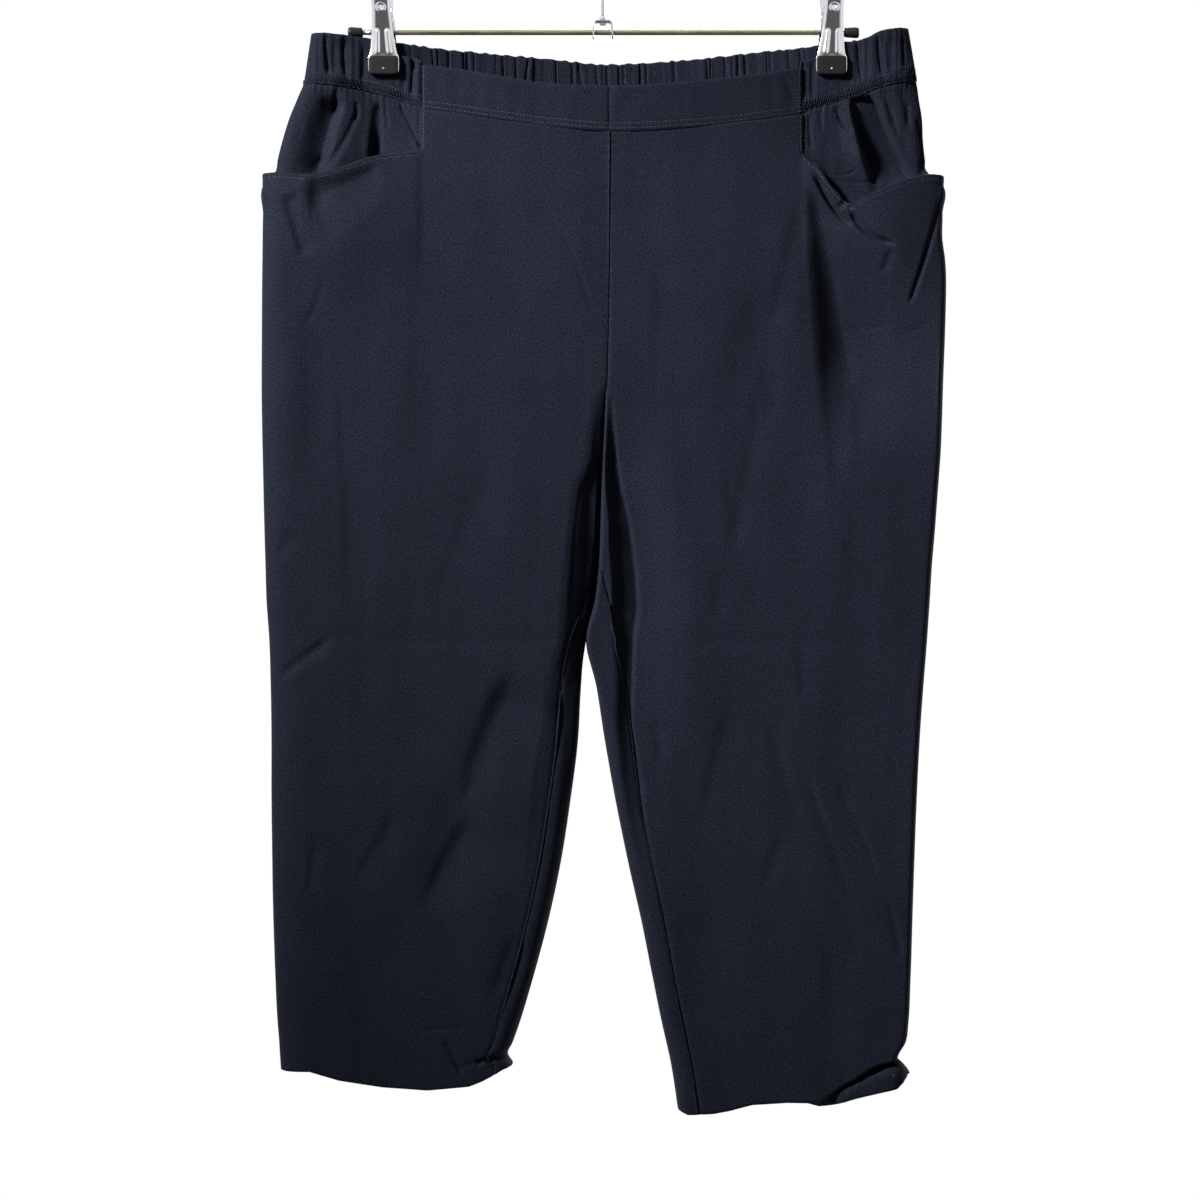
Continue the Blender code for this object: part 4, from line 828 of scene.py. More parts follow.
def leg_outline(leg, z, front_only=False):
    """Outer and inner silhouette of a half of the garment at a height.

    The inner edges are pressed together, most of all from the crotch to where the legs part.
    """
    rows = SECTIONS[leg]
    outer_z = np.minimum(z, HIP_Z + 58.0) if front_only else z
    outer = read(rows, "outer", outer_z)
    press = 0.35 + 0.7 * step(-z, 495.0, 530.0) * (1.0 - step(-z, 562.0, 592.0))
    inner = read(rows, "inner", z) + side_sign(leg) * press * (1.0 - step(-z, 575.0, 600.0))
    return outer, inner


def hollow_share(leg, x, z):
    """Share of the front's depth lost beside the crotch: straight between five lines."""
    rows = HOLLOWS[leg]
    share = np.zeros_like(x)
    for number in range(4):
        start, end = (read_straight(rows, "x%d" % place, z) for place in (number, number + 1))
        low, high = (read_straight(rows, "s%d" % place, z) for place in (number, number + 1))
        t = (x - start) / np.maximum(end - start, 0.1)
        share = np.where((t >= 0.0) & (t < 1.0), low + (high - low) * t, share)
    edge, last = read_straight(rows, "x4", z), read_straight(rows, "s4", z)
    if leg == "left":
        return np.where(x >= edge, last, share)
    return np.where(x >= edge, last * (1.0 - step(x, edge, edge + RIM_EASE)), share)


FULL_POWER = 2.8


def full_end(distance, zone):
    """Like round_end with a higher power, flat for longer and then closer to the edge."""
    rest = 1.0 - np.clip(distance / zone, 0.0, 1.0)
    return np.maximum(1.0 - rest**FULL_POWER, 0.0) ** (1.0 / FULL_POWER)


def base_depth(leg, face, x, z, outer, inner):
    """Distance from the middle plane: the waist's plan blended down into the leg's lens."""
    at_front = face == "front"
    lens = read(SECTIONS[leg], face, z)
    lens = lens * full_end(np.abs(x - outer), FRONT_ZONE[leg] if at_front else OUTER_ZONE)
    recess = step(-z, 350.0 if at_front else 400.0, -CROTCH_Z)
    inner_zone = INNER_ZONE
    if at_front:
        inner_zone = CROTCH_ZONE[leg] + 9.0 * step(-z, 600.0, 650.0)
    lens = lens * (1.0 - recess * (1.0 - full_end(np.abs(x - inner), inner_zone)))
    if at_front:
        lens = lens * (1.0 - hollow_share(leg, x, z))
    waist = read(WAIST, "half_depth", x) * round_end(np.abs(x - outer), WAIST_ZONE)
    blend = step(-z, 120.0, -HIP_Z)
    return (1.0 - blend) * waist + blend * lens


def ring_points(leg, ring, z, front_only=False):
    """Outer surface by ring (0 side fold, 1-2 front, 3 inner edge, 4-5 back, 6 side) and z."""
    outer, inner = leg_outline(leg, z, front_only)
    inward = side_sign(leg)
    width = (inner - outer) * inward
    at_back = (ring > 3.0) | (ring < 0.0)
    along = np.where(ring > 3.0, 6.0 - ring, np.abs(ring))
    outer_part = OUTER_ZONE * (1.0 - np.cos(np.minimum(along, 1.0) * math.pi / 2))
    middle = (np.clip(along, 1.0, 2.0) - 1.0) * (width - OUTER_ZONE - INNER_ZONE)
    inner_part = INNER_ZONE * np.cos((3.0 - np.maximum(along, 2.0)) * math.pi / 2)
    x = outer + inward * (outer_part + middle + inner_part)
    front = base_depth(leg, "front", x, z, outer, inner)
    back = base_depth(leg, "back", x, z, outer, inner)
    edge = round_end(np.abs(x - outer), 25.0) * round_end(np.abs(x - inner), 25.0)
    front = front + 0.45 * fold_height(FRONT_FOLDS, x, z) * edge
    back = back + fold_height(BACK_FOLDS, x, z) * edge
    y = np.where(at_back, back, -front)
    return np.stack((x, y, z), axis=-1)


def inseam_ring(leg, z):
    """Ring value of the inseam, which lies on the front face near the inner edge."""
    offset = read_straight(SECTIONS[leg], "inseam", z)
    angle = np.arccos(1.0 - np.clip(offset / INNER_ZONE, 0.0, 1.0))
    return 3.0 - angle * 2.0 / math.pi


def ring_at(distance, width):
    """Ring value at a distance from the side fold, for a half of this width."""
    outer = np.arccos(1.0 - np.clip(distance / OUTER_ZONE, 0.0, 1.0)) * 2.0 / math.pi
    middle = np.clip((distance - OUTER_ZONE) / (width - OUTER_ZONE - INNER_ZONE), 0.0, 1.0)
    rest = np.clip((distance - width + INNER_ZONE) / INNER_ZONE, 0.0, 1.0)
    inner = 1.0 - np.arccos(rest) * 2.0 / math.pi
    return outer + middle + inner


def meet_edge(z, end, edge, stretch_end):
    """Move the stretch between an end row and stretch_end so that the end row meets an edge."""
    share = np.clip((z - stretch_end) / (end - stretch_end), 0.0, 1.0)
    return z + (edge - end) * share


def pocket_swell(leg, x, z, start):
    """Share of a pocket's fullness: most in mid mouth, none from the bag's end down."""
    seam = FRONT_EDGE[leg]
    t = np.clip((x - seam) / (-SIDE_SEAM_X * side_sign(leg) - seam), 0.0, 1.0)
    return np.sin(math.pi * t) ** 0.7 * (1.0 - step(-z, start, -BAG_BOTTOM_Z))


# ---------------------------------------------------------------- grids, shells and meshes

def grid_normals(points, flip):
    """Unit normals of a grid from the cross product of its two directions."""
    across = np.gradient(points, axis=1)
    down = np.gradient(points, axis=0)
    normal = np.cross(across, down) * (-1.0 if flip else 1.0)
    length = np.linalg.norm(normal, axis=-1, keepdims=True)
    return normal / np.maximum(length, 1e-12)


def run_length(points, axis):
    """Length along each grid line from its first point."""
    pieces = np.linalg.norm(np.diff(points, axis=axis), axis=-1)
    total = np.cumsum(pieces, axis=axis)
    first = np.zeros_like(np.take(total, [0], axis=axis))
    return np.concatenate((first, total), axis=axis)


def build_mesh(name, points, groups, uv=None):
    """Object from points in millimetres and face groups of equal size, shaded smooth."""
    mesh = bpy.data.meshes.new(name)
    points = np.asarray(points, dtype=np.float64).reshape(-1, 3) * MM
    loops = np.concatenate([group.ravel() for group in groups]).astype(np.int32)
    sizes = np.concatenate([np.full(len(group), group.shape[1]) for group in groups])
    starts = np.concatenate(([0], np.cumsum(sizes)[:-1])).astype(np.int32)
    mesh.vertices.add(len(points))
    mesh.vertices.foreach_set("co", points.astype(np.float32).ravel())
    mesh.loops.add(len(loops))
    mesh.loops.foreach_set("vertex_index", loops)
    mesh.polygons.add(len(sizes))
    mesh.polygons.foreach_set("loop_start", starts)
    mesh.update(calc_edges=True)
    if uv is not None:
        layer = mesh.uv_layers.new(name="weave")
        layer.data.foreach_set("uv", uv[loops].astype(np.float32).ravel())
    mesh.shade_smooth()
    mesh.validate()
    built = bpy.data.objects.new(name, mesh)
    bpy.context.scene.collection.objects.link(built)
    return built


def grid_faces(rows, columns, flip):
    """Quads of a grid as an array of (row, column, 4) point numbers."""
    index = np.arange(rows * columns).reshape(rows, columns)
    quads = np.stack((index[:-1, :-1], index[:-1, 1:], index[1:, 1:], index[1:, :-1]), axis=-1)
    return quads[..., ::-1] if flip else quads


def cloth_shell(name, outer, wall, flip, keep=None, roll=0.3):
    """Closed wall: the grid, the grid moved in along its normals, and a rolled rim between.

    The rim's middle row stands out by roll times the wall, square to the edge.
    """
    rows, columns = outer.shape[:2]
    normal = grid_normals(outer, flip)
    wall = np.broadcast_to(np.asarray(wall, dtype=float), (rows, columns))
    inner = outer - normal * wall[..., None]
    quads = grid_faces(rows, columns, flip)
    quads = quads[keep] if keep is not None else quads.reshape(-1, 4)
    count = rows * columns
    start = quads.ravel()
    end = np.roll(quads, -1, axis=1).ravel()
    lone = ~np.isin(start * count + end, end * count + start)
    start, end = start[lone], end[lone]
    flat_outer, flat_inner = outer.reshape(-1, 3), inner.reshape(-1, 3)
    flat_normal = normal.reshape(-1, 3)
    heading = flat_outer[end] - flat_outer[start]
    heading /= np.maximum(np.linalg.norm(heading, axis=1, keepdims=True), 1e-9)
    away = np.cross(heading, flat_normal[start])
    spread = np.zeros((count, 3))
    np.add.at(spread, start, away)
    np.add.at(spread, end, away)
    rim = np.unique(start)
    push = spread[rim] / np.maximum(np.linalg.norm(spread[rim], axis=1, keepdims=True), 1e-9)
    push = push * wall.ravel()[rim, None] * roll
    middle = (flat_outer[rim] + flat_inner[rim]) / 2.0 + push
    rim_number = np.full(count, -1)
    rim_number[rim] = 2 * count + np.arange(len(rim))
    a, b = rim_number[start], rim_number[end]
    faces = np.concatenate((
        quads, quads[:, ::-1] + count,
        np.stack((end, start, a, b), axis=1),
        np.stack((b, a, start + count, end + count), axis=1)))
    across, down = run_length(outer, 1), run_length(outer, 0)
    across = across - across[:, [columns // 2]]
    uv = np.stack((across, -down), axis=-1).reshape(-1, 2) * MM
    points = np.concatenate((flat_outer, flat_inner, middle))
    uv = np.concatenate((uv, uv, uv[rim]))
    used = np.unique(faces)
    renumber = np.full(len(points), -1)
    renumber[used] = np.arange(len(used))
    return build_mesh(name, points[used], [renumber[faces]], uv[used])


def ring_faces(rings, sides):
    """Quads round a stack of rings, and the point numbers ring by ring."""
    number = np.arange(rings * sides).reshape(rings, sides)
    following = np.roll(number, -1, axis=1)
    quads = np.stack((number[:-1], following[:-1], following[1:], number[1:]), axis=-1)
    return quads.reshape(-1, 4), number


def ringed(name, path, radius, side, third, sides):
    """Closed body of rings round a path: its cosine runs along side and its sine along third."""
    angle = np.linspace(0.0, 2.0 * math.pi, sides, endpoint=False)[None, :, None]
    rings = path[:, None] + radius[:, None, None] * (
        np.cos(angle) * side + np.sin(angle) * third)
    quads, number = ring_faces(len(path), sides)
    return build_mesh(name, rings, [quads, number[:1, ::-1], number[-1:]])


def tube(name, path, radius, across, sides):
    """Round rod along a path; across is a direction that is made square to it at each point."""
    path = np.asarray(path, dtype=float)
    radius = np.broadcast_to(np.asarray(radius, dtype=float), len(path))
    heading = np.gradient(path, axis=0)
    heading /= np.linalg.norm(heading, axis=1, keepdims=True)
    across = np.broadcast_to(np.asarray(across, dtype=float), path.shape)
    across = across - heading * np.sum(across * heading, axis=1, keepdims=True)
    across = across / np.linalg.norm(across, axis=1, keepdims=True)
    third = np.cross(heading, across)
    return ringed(name, path, radius, across[:, None], third[:, None], sides)


def turned(name, profile, place, axis, sides):
    """Turned piece: a profile of (radius, height) pairs round an axis through a place."""
    axis = np.asarray(axis, dtype=float)
    radius, height = np.array(profile).T
    path = np.asarray(place, dtype=float) + height[:, None] * axis
    side = np.array((0.0, 1.0, 0.0)) if abs(axis[1]) < 0.5 else np.array((1.0, 0.0, 0.0))
    return ringed(name, path, np.maximum(radius, 0.02), side, np.cross(axis, side), sides)


def joined(name, pieces):
    """One object from several, faces and UV maps kept."""
    with bpy.context.temp_override(active_object=pieces[0], selected_editable_objects=pieces,
                                   selected_objects=pieces, object=pieces[0]):
        bpy.ops.object.join()
    pieces[0].name = name
    pieces[0].data.name = name
    return pieces[0]


def finish_piece(piece, material, nodes=()):
    """Give a piece its material, hang it on the root body, and hide the frame's parts that it
    stands for.
    """
    piece.data.materials.clear()
    piece.data.materials.append(material)
    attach(piece, "root")
    if nodes:
        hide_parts(*nodes)
    return piece


# ---------------------------------------------------------------- cloth pieces

def seam_dip(distance, depth=1.2, width=0.95):
    """Cloth rolls in at a seam: a Gaussian of the distance from it."""
    return -depth * np.exp(-((distance / width) ** 2))


def pucker(along, distance, pitch, height, width, centre=0.0):
    """Small waves along a sewn line that fade away from it, with an uneven phase."""
    phase = along / pitch + 0.35 * np.sin(along / (pitch * 2.7))
    phase = phase + 0.2 * np.sin(along / pitch * 0.37)
    fade = np.exp(-(((distance - centre) / width) ** 2))
    return height * np.sin(2.0 * math.pi * phase) * fade


def off_the_folds(x, outer, inner):
    """0 at the side fold and at the inner edge, rising to 1 in a few millimetres."""
    return round_end(np.abs(x - outer), 6.0) * round_end(np.abs(x - inner), 5.0)


def hem_wall(down):
    """Wall of a panel by the run down it: one cloth, and more over the turned-up hem."""
    to_hem = down[[-1]] - down
    return CLOTH_WALL + HEM_WALL * (1.0 - step(to_hem, HEM_DEPTH - 2.0, HEM_DEPTH + 1.0))


def front_rings(leg, z, distance, width):
    """Ring value of each column of a front panel, from behind the side fold to its inner seam.

    Distances from the side fold shrink in proportion to the panel's width at each height; the
    last column follows the centre seam and then the inseam.
    """
    row_outer, row_inner = leg_outline(leg, z, True)
    whole = (row_inner - row_outer) * side_sign(leg)
    above = z > INSEAM_TOP_Z
    offset = np.where(above, 0.0, read_straight(SECTIONS[leg], "inseam", z))
    reach = distance * (whole - offset) / width
    ring_end = np.minimum(inseam_ring(leg, z) - SEAM_RING, 3.0 - SEAM_RING)
    ring_end = np.where(above, 3.0, ring_end)
    wrap = -WRAP_RING * step(-z, 205.0, 225.0) * (1.0 - np.clip(distance / 12.0, 0.0, 1.0))
    ring = np.minimum(ring_at(reach, whole) + wrap, ring_end)
    ring[:, -1] = ring_end[:, -1]
    return ring


def front_grid(leg):
    """Form of a front panel without relief, and where the pocket seam runs on it.

    Columns run from just behind the side fold to the centre seam and the inseam, rows from
    the waistband and the pocket mouth to the hem. All points lie on the ring surface.
    """
    inward = side_sign(leg)
    outer_x, inner_x = leg_outline(leg, np.array([-180.0]), True)
    width = float((inner_x - outer_x)[0] * inward)
    seam_at = float((FRONT_EDGE[leg] - outer_x[0]) * inward)
    join_z = float(read(MOUTH[leg], "z", np.array([FRONT_EDGE[leg]]))[0])
    heights = spaced((PANEL_TOP_Z, 2.0), (join_z, 1.3), (-335.0, 3.4), (HEM_ROW_Z, 2.0),
                     (PANEL_END_Z, 0.0))
    first = np.array((0.0, 0.1, 0.4, 0.9, 1.6))
    body = spaced((2.6, 1.5), (seam_at, 4.0), (width - 62.0, 1.95), (width - INNER_ZONE, 1.3),
                  (width - 3.0, 0.0))
    last = width - np.array((1.9, 1.1, 0.5, 0.12, 0.0))
    distance = np.concatenate((first, body, last))
    join_row = int(np.argmin(np.abs(heights - join_z)))
    seam_column = int(np.argmin(np.abs(distance - seam_at)))
    z = np.repeat(heights[:, None], len(distance), axis=1)
    ring = front_rings(leg, z, distance, width)
    x = ring_points(leg, ring, z, True)[..., 0]
    pocket = np.repeat(np.arange(len(distance))[None, :] < seam_column, len(heights), axis=0)
    mouth = read(MOUTH[leg], "z", x[join_row])[None, :]
    band_edge = read(FRONT_BOTTOM, "z", x[0])[None, :] + TUCK
    hem = read_straight(HEM[leg, "front"], "z", x[-1])[None, :]
    under_mouth = meet_edge(np.minimum(z, join_z), join_z, mouth, HIP_STRETCH_Z)
    under_mouth = under_mouth + np.maximum(z - join_z, 0.0)
    under_band = meet_edge(z, PANEL_TOP_Z, band_edge, join_z)
    z = np.where(pocket, under_mouth, under_band)
    z = meet_edge(z, PANEL_END_Z, hem, HEM_STRETCH_Z)
    points = ring_points(leg, ring, z, True)
    points[..., 1] -= MOUTH_LIFT * pocket_swell(leg, points[..., 0], z, 215.0)
    return points, pocket, join_z, join_row, seam_column


FAR = 1000.0             # a distance at which no seam or edge counts


def front_seam_relief(leg, points, pocket, join_z, join_row, seam_column):
    """Dips and puckers of a front panel along its seams and the pocket mouth.

    Each is a function of the run across or down the grid from that seam.
    """
    z = points[..., 2]
    across, down = run_length(points, 1), run_length(points, 0)
    from_centre = across[:, [-1]] - across
    from_mouth = np.where(pocket, down - down[[join_row]], FAR)
    facing = np.abs(grid_normals(points, leg == "left")[..., 1])
    centre = 1.0 - step(-z, -CROTCH_Z - 20.0, -CROTCH_Z)
    inseam = SEAM_DIPS[leg, "inseam_front"] * (1.0 - centre)
    dip = SEAM_DIPS[leg, "centre"] * centre + inseam
    relief = seam_dip(from_centre, dip, 2.0) * facing + seam_dip(across, 0.6)
    relief += pucker(down, from_centre, *SEAM_PUCKER) * facing
    relief += pucker(across, from_mouth, *MOUTH_PUCKER)
    from_band = np.where(pocket, FAR, down)
    relief += 0.25 - 1.75 * (1.0 - step(from_band, TUCK - 1.2, TUCK + 0.2))
    beside = np.where(pocket | (z <= join_z - 2.0), FAR, across - across[:, [seam_column]])
    relief += 0.25 * np.exp(-(((beside - 0.8) / 1.0) ** 2))
    relief -= 0.25 * np.exp(-((beside - 3.0) / 1.2) ** 2)
    return relief


def front_panel(leg, strength):
    """Outer surface of a front panel.

    The creases, a slow drift and the roll at each seam are added to its form along its
    normals. The wall is thicker over the turned hem and the faced pocket mouth, and the
    cells above the pocket mouth are left out.
    """
    flip = leg == "left"
    points, pocket, join_z, join_row, seam_column = front_grid(leg)
    x, z = points[..., 0], points[..., 2]
    fade = off_the_folds(x, *leg_outline(leg, z, True))
    folds = crease_relief(FRONT_CREASES, x, z) + facet_relief(FRONT_FACETS, x, z)
    relief = strength * fade * (folds + drift(x, z, 3, FRONT_DRIFT))
    relief += front_seam_relief(leg, points, pocket, join_z, join_row, seam_column)
    points = points + grid_normals(points, flip) * relief[..., None]
    down = run_length(points, 0)
    from_mouth = np.where(pocket, down - down[[join_row]], FAR)
    facing_end = step(from_mouth, FACING_DEPTH - 2.0, FACING_DEPTH + 2.0)
    wall = hem_wall(down) + FACING_WALL * (1.0 - facing_end)
    keep = np.ones((points.shape[0] - 1, points.shape[1] - 1), dtype=bool)
    keep[:join_row, :seam_column] = False
    return points, wall, flip, keep, join_row, seam_column


def back_grid(leg):
    """Form of a back panel without relief, and its ring values.

    Columns run from the centre seam or the inseam round the inner edge to the side fold.
    """
    outer_x, inner_x = leg_outline(leg, np.array([-300.0]))
    width = float((inner_x - outer_x)[0] * side_sign(leg))
    heights = spaced((PANEL_TOP_Z, 2.9), (-330.0, 3.8), (HEM_ROW_Z, 2.2), (PANEL_END_Z, 0.0))
    body = spaced((0.0, 0.1), (0.1, 0.3), (0.4, 0.5), (0.9, 0.7), (1.6, 1.0), (2.6, 2.0),
                  (12.0, 3.1), (width - 3.0, 0.8), (width - 0.36, 0.0))
    turned_ring = 6.0 - ring_at(width - body, width)
    share = np.clip((turned_ring - 3.0) / (BACK_END_RING - 3.0), 0.0, 1.0)
    share[-1] = 1.0
    z = np.repeat(heights[:, None], len(share), axis=1)
    ring_start = np.minimum(inseam_ring(leg, z) + SEAM_RING, 3.0 + SEAM_RING)
    ring_start = np.where(z > INSEAM_TOP_Z, 3.0001, ring_start)
    ring = ring_start + share[None, :] * (BACK_END_RING - ring_start)
    x = ring_points(leg, ring, z)[..., 0]
    top = read(BACK_BOTTOM, "z", x[:1]) + TUCK
    front_hem = read_straight(HEM[leg, "front"], "z", x)
    back_hem = read_straight(HEM[leg, "back"], "z", x)
    hem = np.where(ring < 3.0, front_hem, back_hem)
    z = meet_edge(z, PANEL_TOP_Z, top, BACK_STRETCH_Z)
    z = meet_edge(z, PANEL_END_Z, hem[-1:], HEM_STRETCH_Z)
    return ring_points(leg, ring, z), ring


def curl_hem_corner(leg, points, ring):
    """Bring the outer corner of a back hem forward to just behind the front's hem.

    The share is a smooth step along the hem and below the front's edge, and a quarter
    ellipse towards the side fold.
    """
    x, z = points[..., 0], points[..., 2]
    below = read_straight(HEM[leg, "front"], "z", x) - z
    corner = step(x, 158.0, 192.0) * round_end(np.abs(x - 245.0), 16.0)
    corner = corner * step(below, -2.5, 5.5)
    curled = HEM_CURL_GAP - base_depth(leg, "front", x, z, *leg_outline(leg, z))
    points[..., 1] += (curled - points[..., 1]) * corner * (ring > 3.0)


def back_panel(leg, strength):
    """Outer surface of a back panel: its form with creases, gathers and seam rolls added."""
    flip = leg == "left"
    points, ring = back_grid(leg)
    if leg == "right":
        curl_hem_corner(leg, points, ring)
    x, z = points[..., 0], points[..., 2]
    fade = off_the_folds(x, *leg_outline(leg, z))
    at_front = crease_relief(FRONT_CREASES, x, z) + drift(x, z, 3, BACK_DRIFT)
    at_front += facet_relief(FRONT_FACETS, x, z)
    at_back = crease_relief(BACK_CREASES, x, z) + drift(x, z, 8, BACK_DRIFT)
    relief = strength * np.where(ring < 3.0, at_front, at_back) * fade
    across, down = run_length(points, 1), run_length(points, 0)
    facing = np.abs(grid_normals(points, flip)[..., 1])
    relief += seam_dip(across, SEAM_DIPS[leg, "inseam_back"], 1.25) * facing
    relief += seam_dip(across[:, [-1]] - across, 0.6)
    relief += pucker(down, across, *SEAM_PUCKER) * facing
    relief += -1.5 * (1.0 - step(down, TUCK - 0.6, TUCK + 0.8))
    relief += 0.9 * (gather_wave(x, *BACK_GATHERS) - 0.5) * np.exp(-down / 16.0)
    points = points + grid_normals(points, flip) * relief[..., None]
    return points, hem_wall(run_length(points, 0)), flip


def side_yoke(leg, strength):
    """Side piece from the casing down behind the pocket mouth, which is the back of the pocket."""
    inward = side_sign(leg)
    flip = leg == "left"
    heights = spaced((YOKE_TOP_Z, 1.2), (-226.0, 2.2), (BAG_BOTTOM_Z, 0.0))
    share = np.concatenate(((0.0, 0.001, 0.004, 0.009, 0.016), np.linspace(0.026, 1.0, 78)))
    start = np.repeat(heights[:, None], len(share), axis=1)
    z = start
    for _ in range(2):       # the top edge is read at x, which itself depends on z
        below = step(-z, -MOUTH_TOP_Z, -MOUTH_TOP_Z + 10.0)
        outer = leg_outline(leg, z)[0] + inward * 3.2 * below
        inner_end = FRONT_EDGE[leg] + inward * 5.0
        x = outer + (inner_end - outer) * share
        top = read(SIDE_BOTTOM[leg], "z", x[:1]) + TUCK
        z = meet_edge(start, YOKE_TOP_Z, top, MOUTH_TOP_Z - 10.0)
    inner = np.full_like(x, FAR * inward)
    depth = base_depth(leg, "front", x, z, outer, inner)
    covered = step(-z, 176.0, 216.0)
    folds = 0.3 * fold_height(YOKE_FOLDS, x, z) + covered * 0.45 * fold_height(FRONT_FOLDS, x, z)
    depth = depth + folds * round_end(np.abs(x - outer), 20.0)
    swell = COVERED_INSET + POCKET_DEPTH * pocket_swell(leg, x, z, -HIP_Z)
    inset = YOKE_INSET + covered * swell
    depth = depth - inset * round_end(np.abs(x - outer), 6.0)
    points = np.stack((x, -depth, z), axis=-1)
    fade = round_end(np.abs(x - outer), 6.0)
    bare = crease_relief(YOKE_CREASES, x, z) + facet_relief(YOKE_FACETS, x, z)
    under = crease_relief(FRONT_CREASES, x, z) + facet_relief(FRONT_FACETS, x, z)
    relief = strength * (bare * (1.0 - covered) + under * covered) - 1.2 * covered
    relief += strength * drift(x, z, 5, YOKE_DRIFT)
    down = run_length(points, 0)
    first, last, count = SIDE_GATHERS[leg]
    fine = gather_wave(x, first, last, count * 2.2) - 0.5
    relief += 1.1 * fine * np.exp(-(down - TUCK) / 9.0) * step(down, 0.0, TUCK)
    relief += -0.9 * (1.0 - step(down, TUCK - 0.6, TUCK + 1.0)) + 0.5
    points = points + grid_normals(points, flip) * (relief * fade)[..., None]
    floor = np.maximum(base_depth(leg, "back", x, z, outer, inner) - YOKE_CLEARANCE, 1.2)
    y = points[..., 1]
    points[..., 1] = 0.5 * (y + floor - np.sqrt((y - floor) ** 2 + 1.0))
    return points, CLOTH_WALL, flip


def band_fold(x, share):
    """Side fold of the waistband nearest to x, which leans out from top to bottom."""
    left = BAND_FOLD_TOP["left"] + (BAND_FOLD_BOTTOM["left"] - BAND_FOLD_TOP["left"]) * share
    right = BAND_FOLD_TOP["right"] + (BAND_FOLD_BOTTOM["right"] - BAND_FOLD_TOP["right"]) * share
    return np.where(x < 0.0, left, right)


def band_surface(x, side, top, bottom, rows):
    """Strip of waistband between two edges, standing out by the waist's half depth."""
    share = np.linspace(0.0, 1.0, rows)[:, None]
    z = top + (bottom - top) * share
    lean = (band_fold(x, share) - band_fold(x, 1.0)) * step(np.abs(x), 150.0, 235.0)
    x = x + lean
    edge = band_fold(x, share)
    depth = read(WAIST, "half_depth", x) * round_end(np.abs(x - edge), WAIST_ZONE)
    return np.stack((x, side * depth, z + 0.0 * x), axis=-1), edge


def clip_press(x):
    """1 away from the clips and nearly 0 between their pads, where the cloth is held flat."""
    pressed = np.ones_like(x)
    for centre in CLIP_CENTRES.values():
        pressed = pressed * (1.0 - 0.85 * np.exp(-(((x - centre) / 15.0) ** 4)))
    return pressed


def front_band(strength):
    """Flat front waistband: two layers of cloth with a centre seam and a rolled top edge."""
    x = spaced((FRONT_EDGE["left"] + 0.3, 0.5), (FRONT_EDGE["left"] + 4.0, 1.3), (2.0, 0.5),
               (8.0, 1.3), (FRONT_EDGE["right"] - 4.0, 0.5), (FRONT_EDGE["right"] - 0.3, 0.0))
    x = x[None, :]
    points, _ = band_surface(x, -1.0, read(FRONT_TOP, "z", x), read(FRONT_BOTTOM, "z", x), 36)
    at_x, at_z = points[..., 0], points[..., 2]
    relief = strength * crease_relief(BAND_CREASES, at_x, at_z)
    relief += strength * drift(at_x, at_z, 11, BAND_DRIFT)
    across, down = run_length(points, 1), run_length(points, 0)
    up = down[[-1]] - down
    ends = np.minimum(across, across[:, [-1]] - across)
    relief += seam_dip(ends, 0.7, 1.0) + seam_dip(down, 0.5, 1.0)
    for row in BAND_ROWS:
        relief += seam_dip(up - row, 0.22, 0.7)
    relief += 0.5 - 0.55 * (1.0 - step(up, 0.2, 2.0))
    relief += pucker(across, up, *BAND_PUCKER)
    points = points + grid_normals(points, True) * relief[..., None]
    return points, CASING_WALL, True


def ladder_ribs(x, z, top, bottom, lean, seed):
    """Fine ribs between the two gathering lines, a sine about every 2.1 mm, uneven in height."""
    inside = step(z, bottom - 1.0, bottom + 1.2) * (1.0 - step(z, top - 0.6, top + 2.2))
    along = x + lean * (z - bottom)
    phase = along / 2.1 + 0.3 * np.sin(along / 4.7) + 0.25 * np.sin(along / 9.1 + seed)
    size = 0.7 + 0.3 * np.sin(along / 6.3 + seed)
    return 0.7 * size * np.sin(2.0 * math.pi * phase) * inside


def side_casing(leg, strength):
    """Elastic casing at a side: a few deep gathers above and fine ribs between its stitch rows."""
    inward = side_sign(leg)
    flip = leg == "left"
    first = BAND_FOLD_BOTTOM[leg] + inward * 0.05
    length = abs(FRONT_EDGE[leg] - inward * 0.4 - first)
    distance = np.concatenate(((0.0, 0.1, 0.3, 0.7), spaced((1.2, 0.52), (length, 0.0))))
    x = (first + inward * distance)[None, :]
    points, edge = band_surface(x, -1.0, read(SIDE_TOP[leg], "z", x),
                                read(SIDE_BOTTOM[leg], "z", x), 38)
    at_x, at_z = points[..., 0], points[..., 2]
    pressed = clip_press(at_x)
    first_x, last_x, count = SIDE_GATHERS[leg]
    wave = 0.6 * (gather_wave(at_x, first_x, last_x, count * 1.6) - 0.6)
    wave += strength * crease_relief(SIDE_CREASES, at_x, at_z)
    top = read(LADDER_TOP[leg], "z", at_x)
    bottom = read(SIDE_BOTTOM[leg], "z", at_x)
    above = step(at_z, top - 2.0, top + 3.0)
    relief = wave * pressed * (0.35 + 0.65 * above)
    relief += ladder_ribs(at_x, at_z, top, bottom, 0.28 * inward, 1.0 + inward)
    relief += strength * 0.3 * drift(at_x, at_z, 13, CASING_DRIFT) * pressed
    down = run_length(points, 0)
    relief += seam_dip(down, 0.6, 1.2) - 1.0 * step(down, down[[-1]] - 4.5, down[[-1]])
    relief *= round_end(np.abs(at_x - edge), 6.0)
    points = points + grid_normals(points, flip) * relief[..., None]
    return points, CASING_WALL, flip


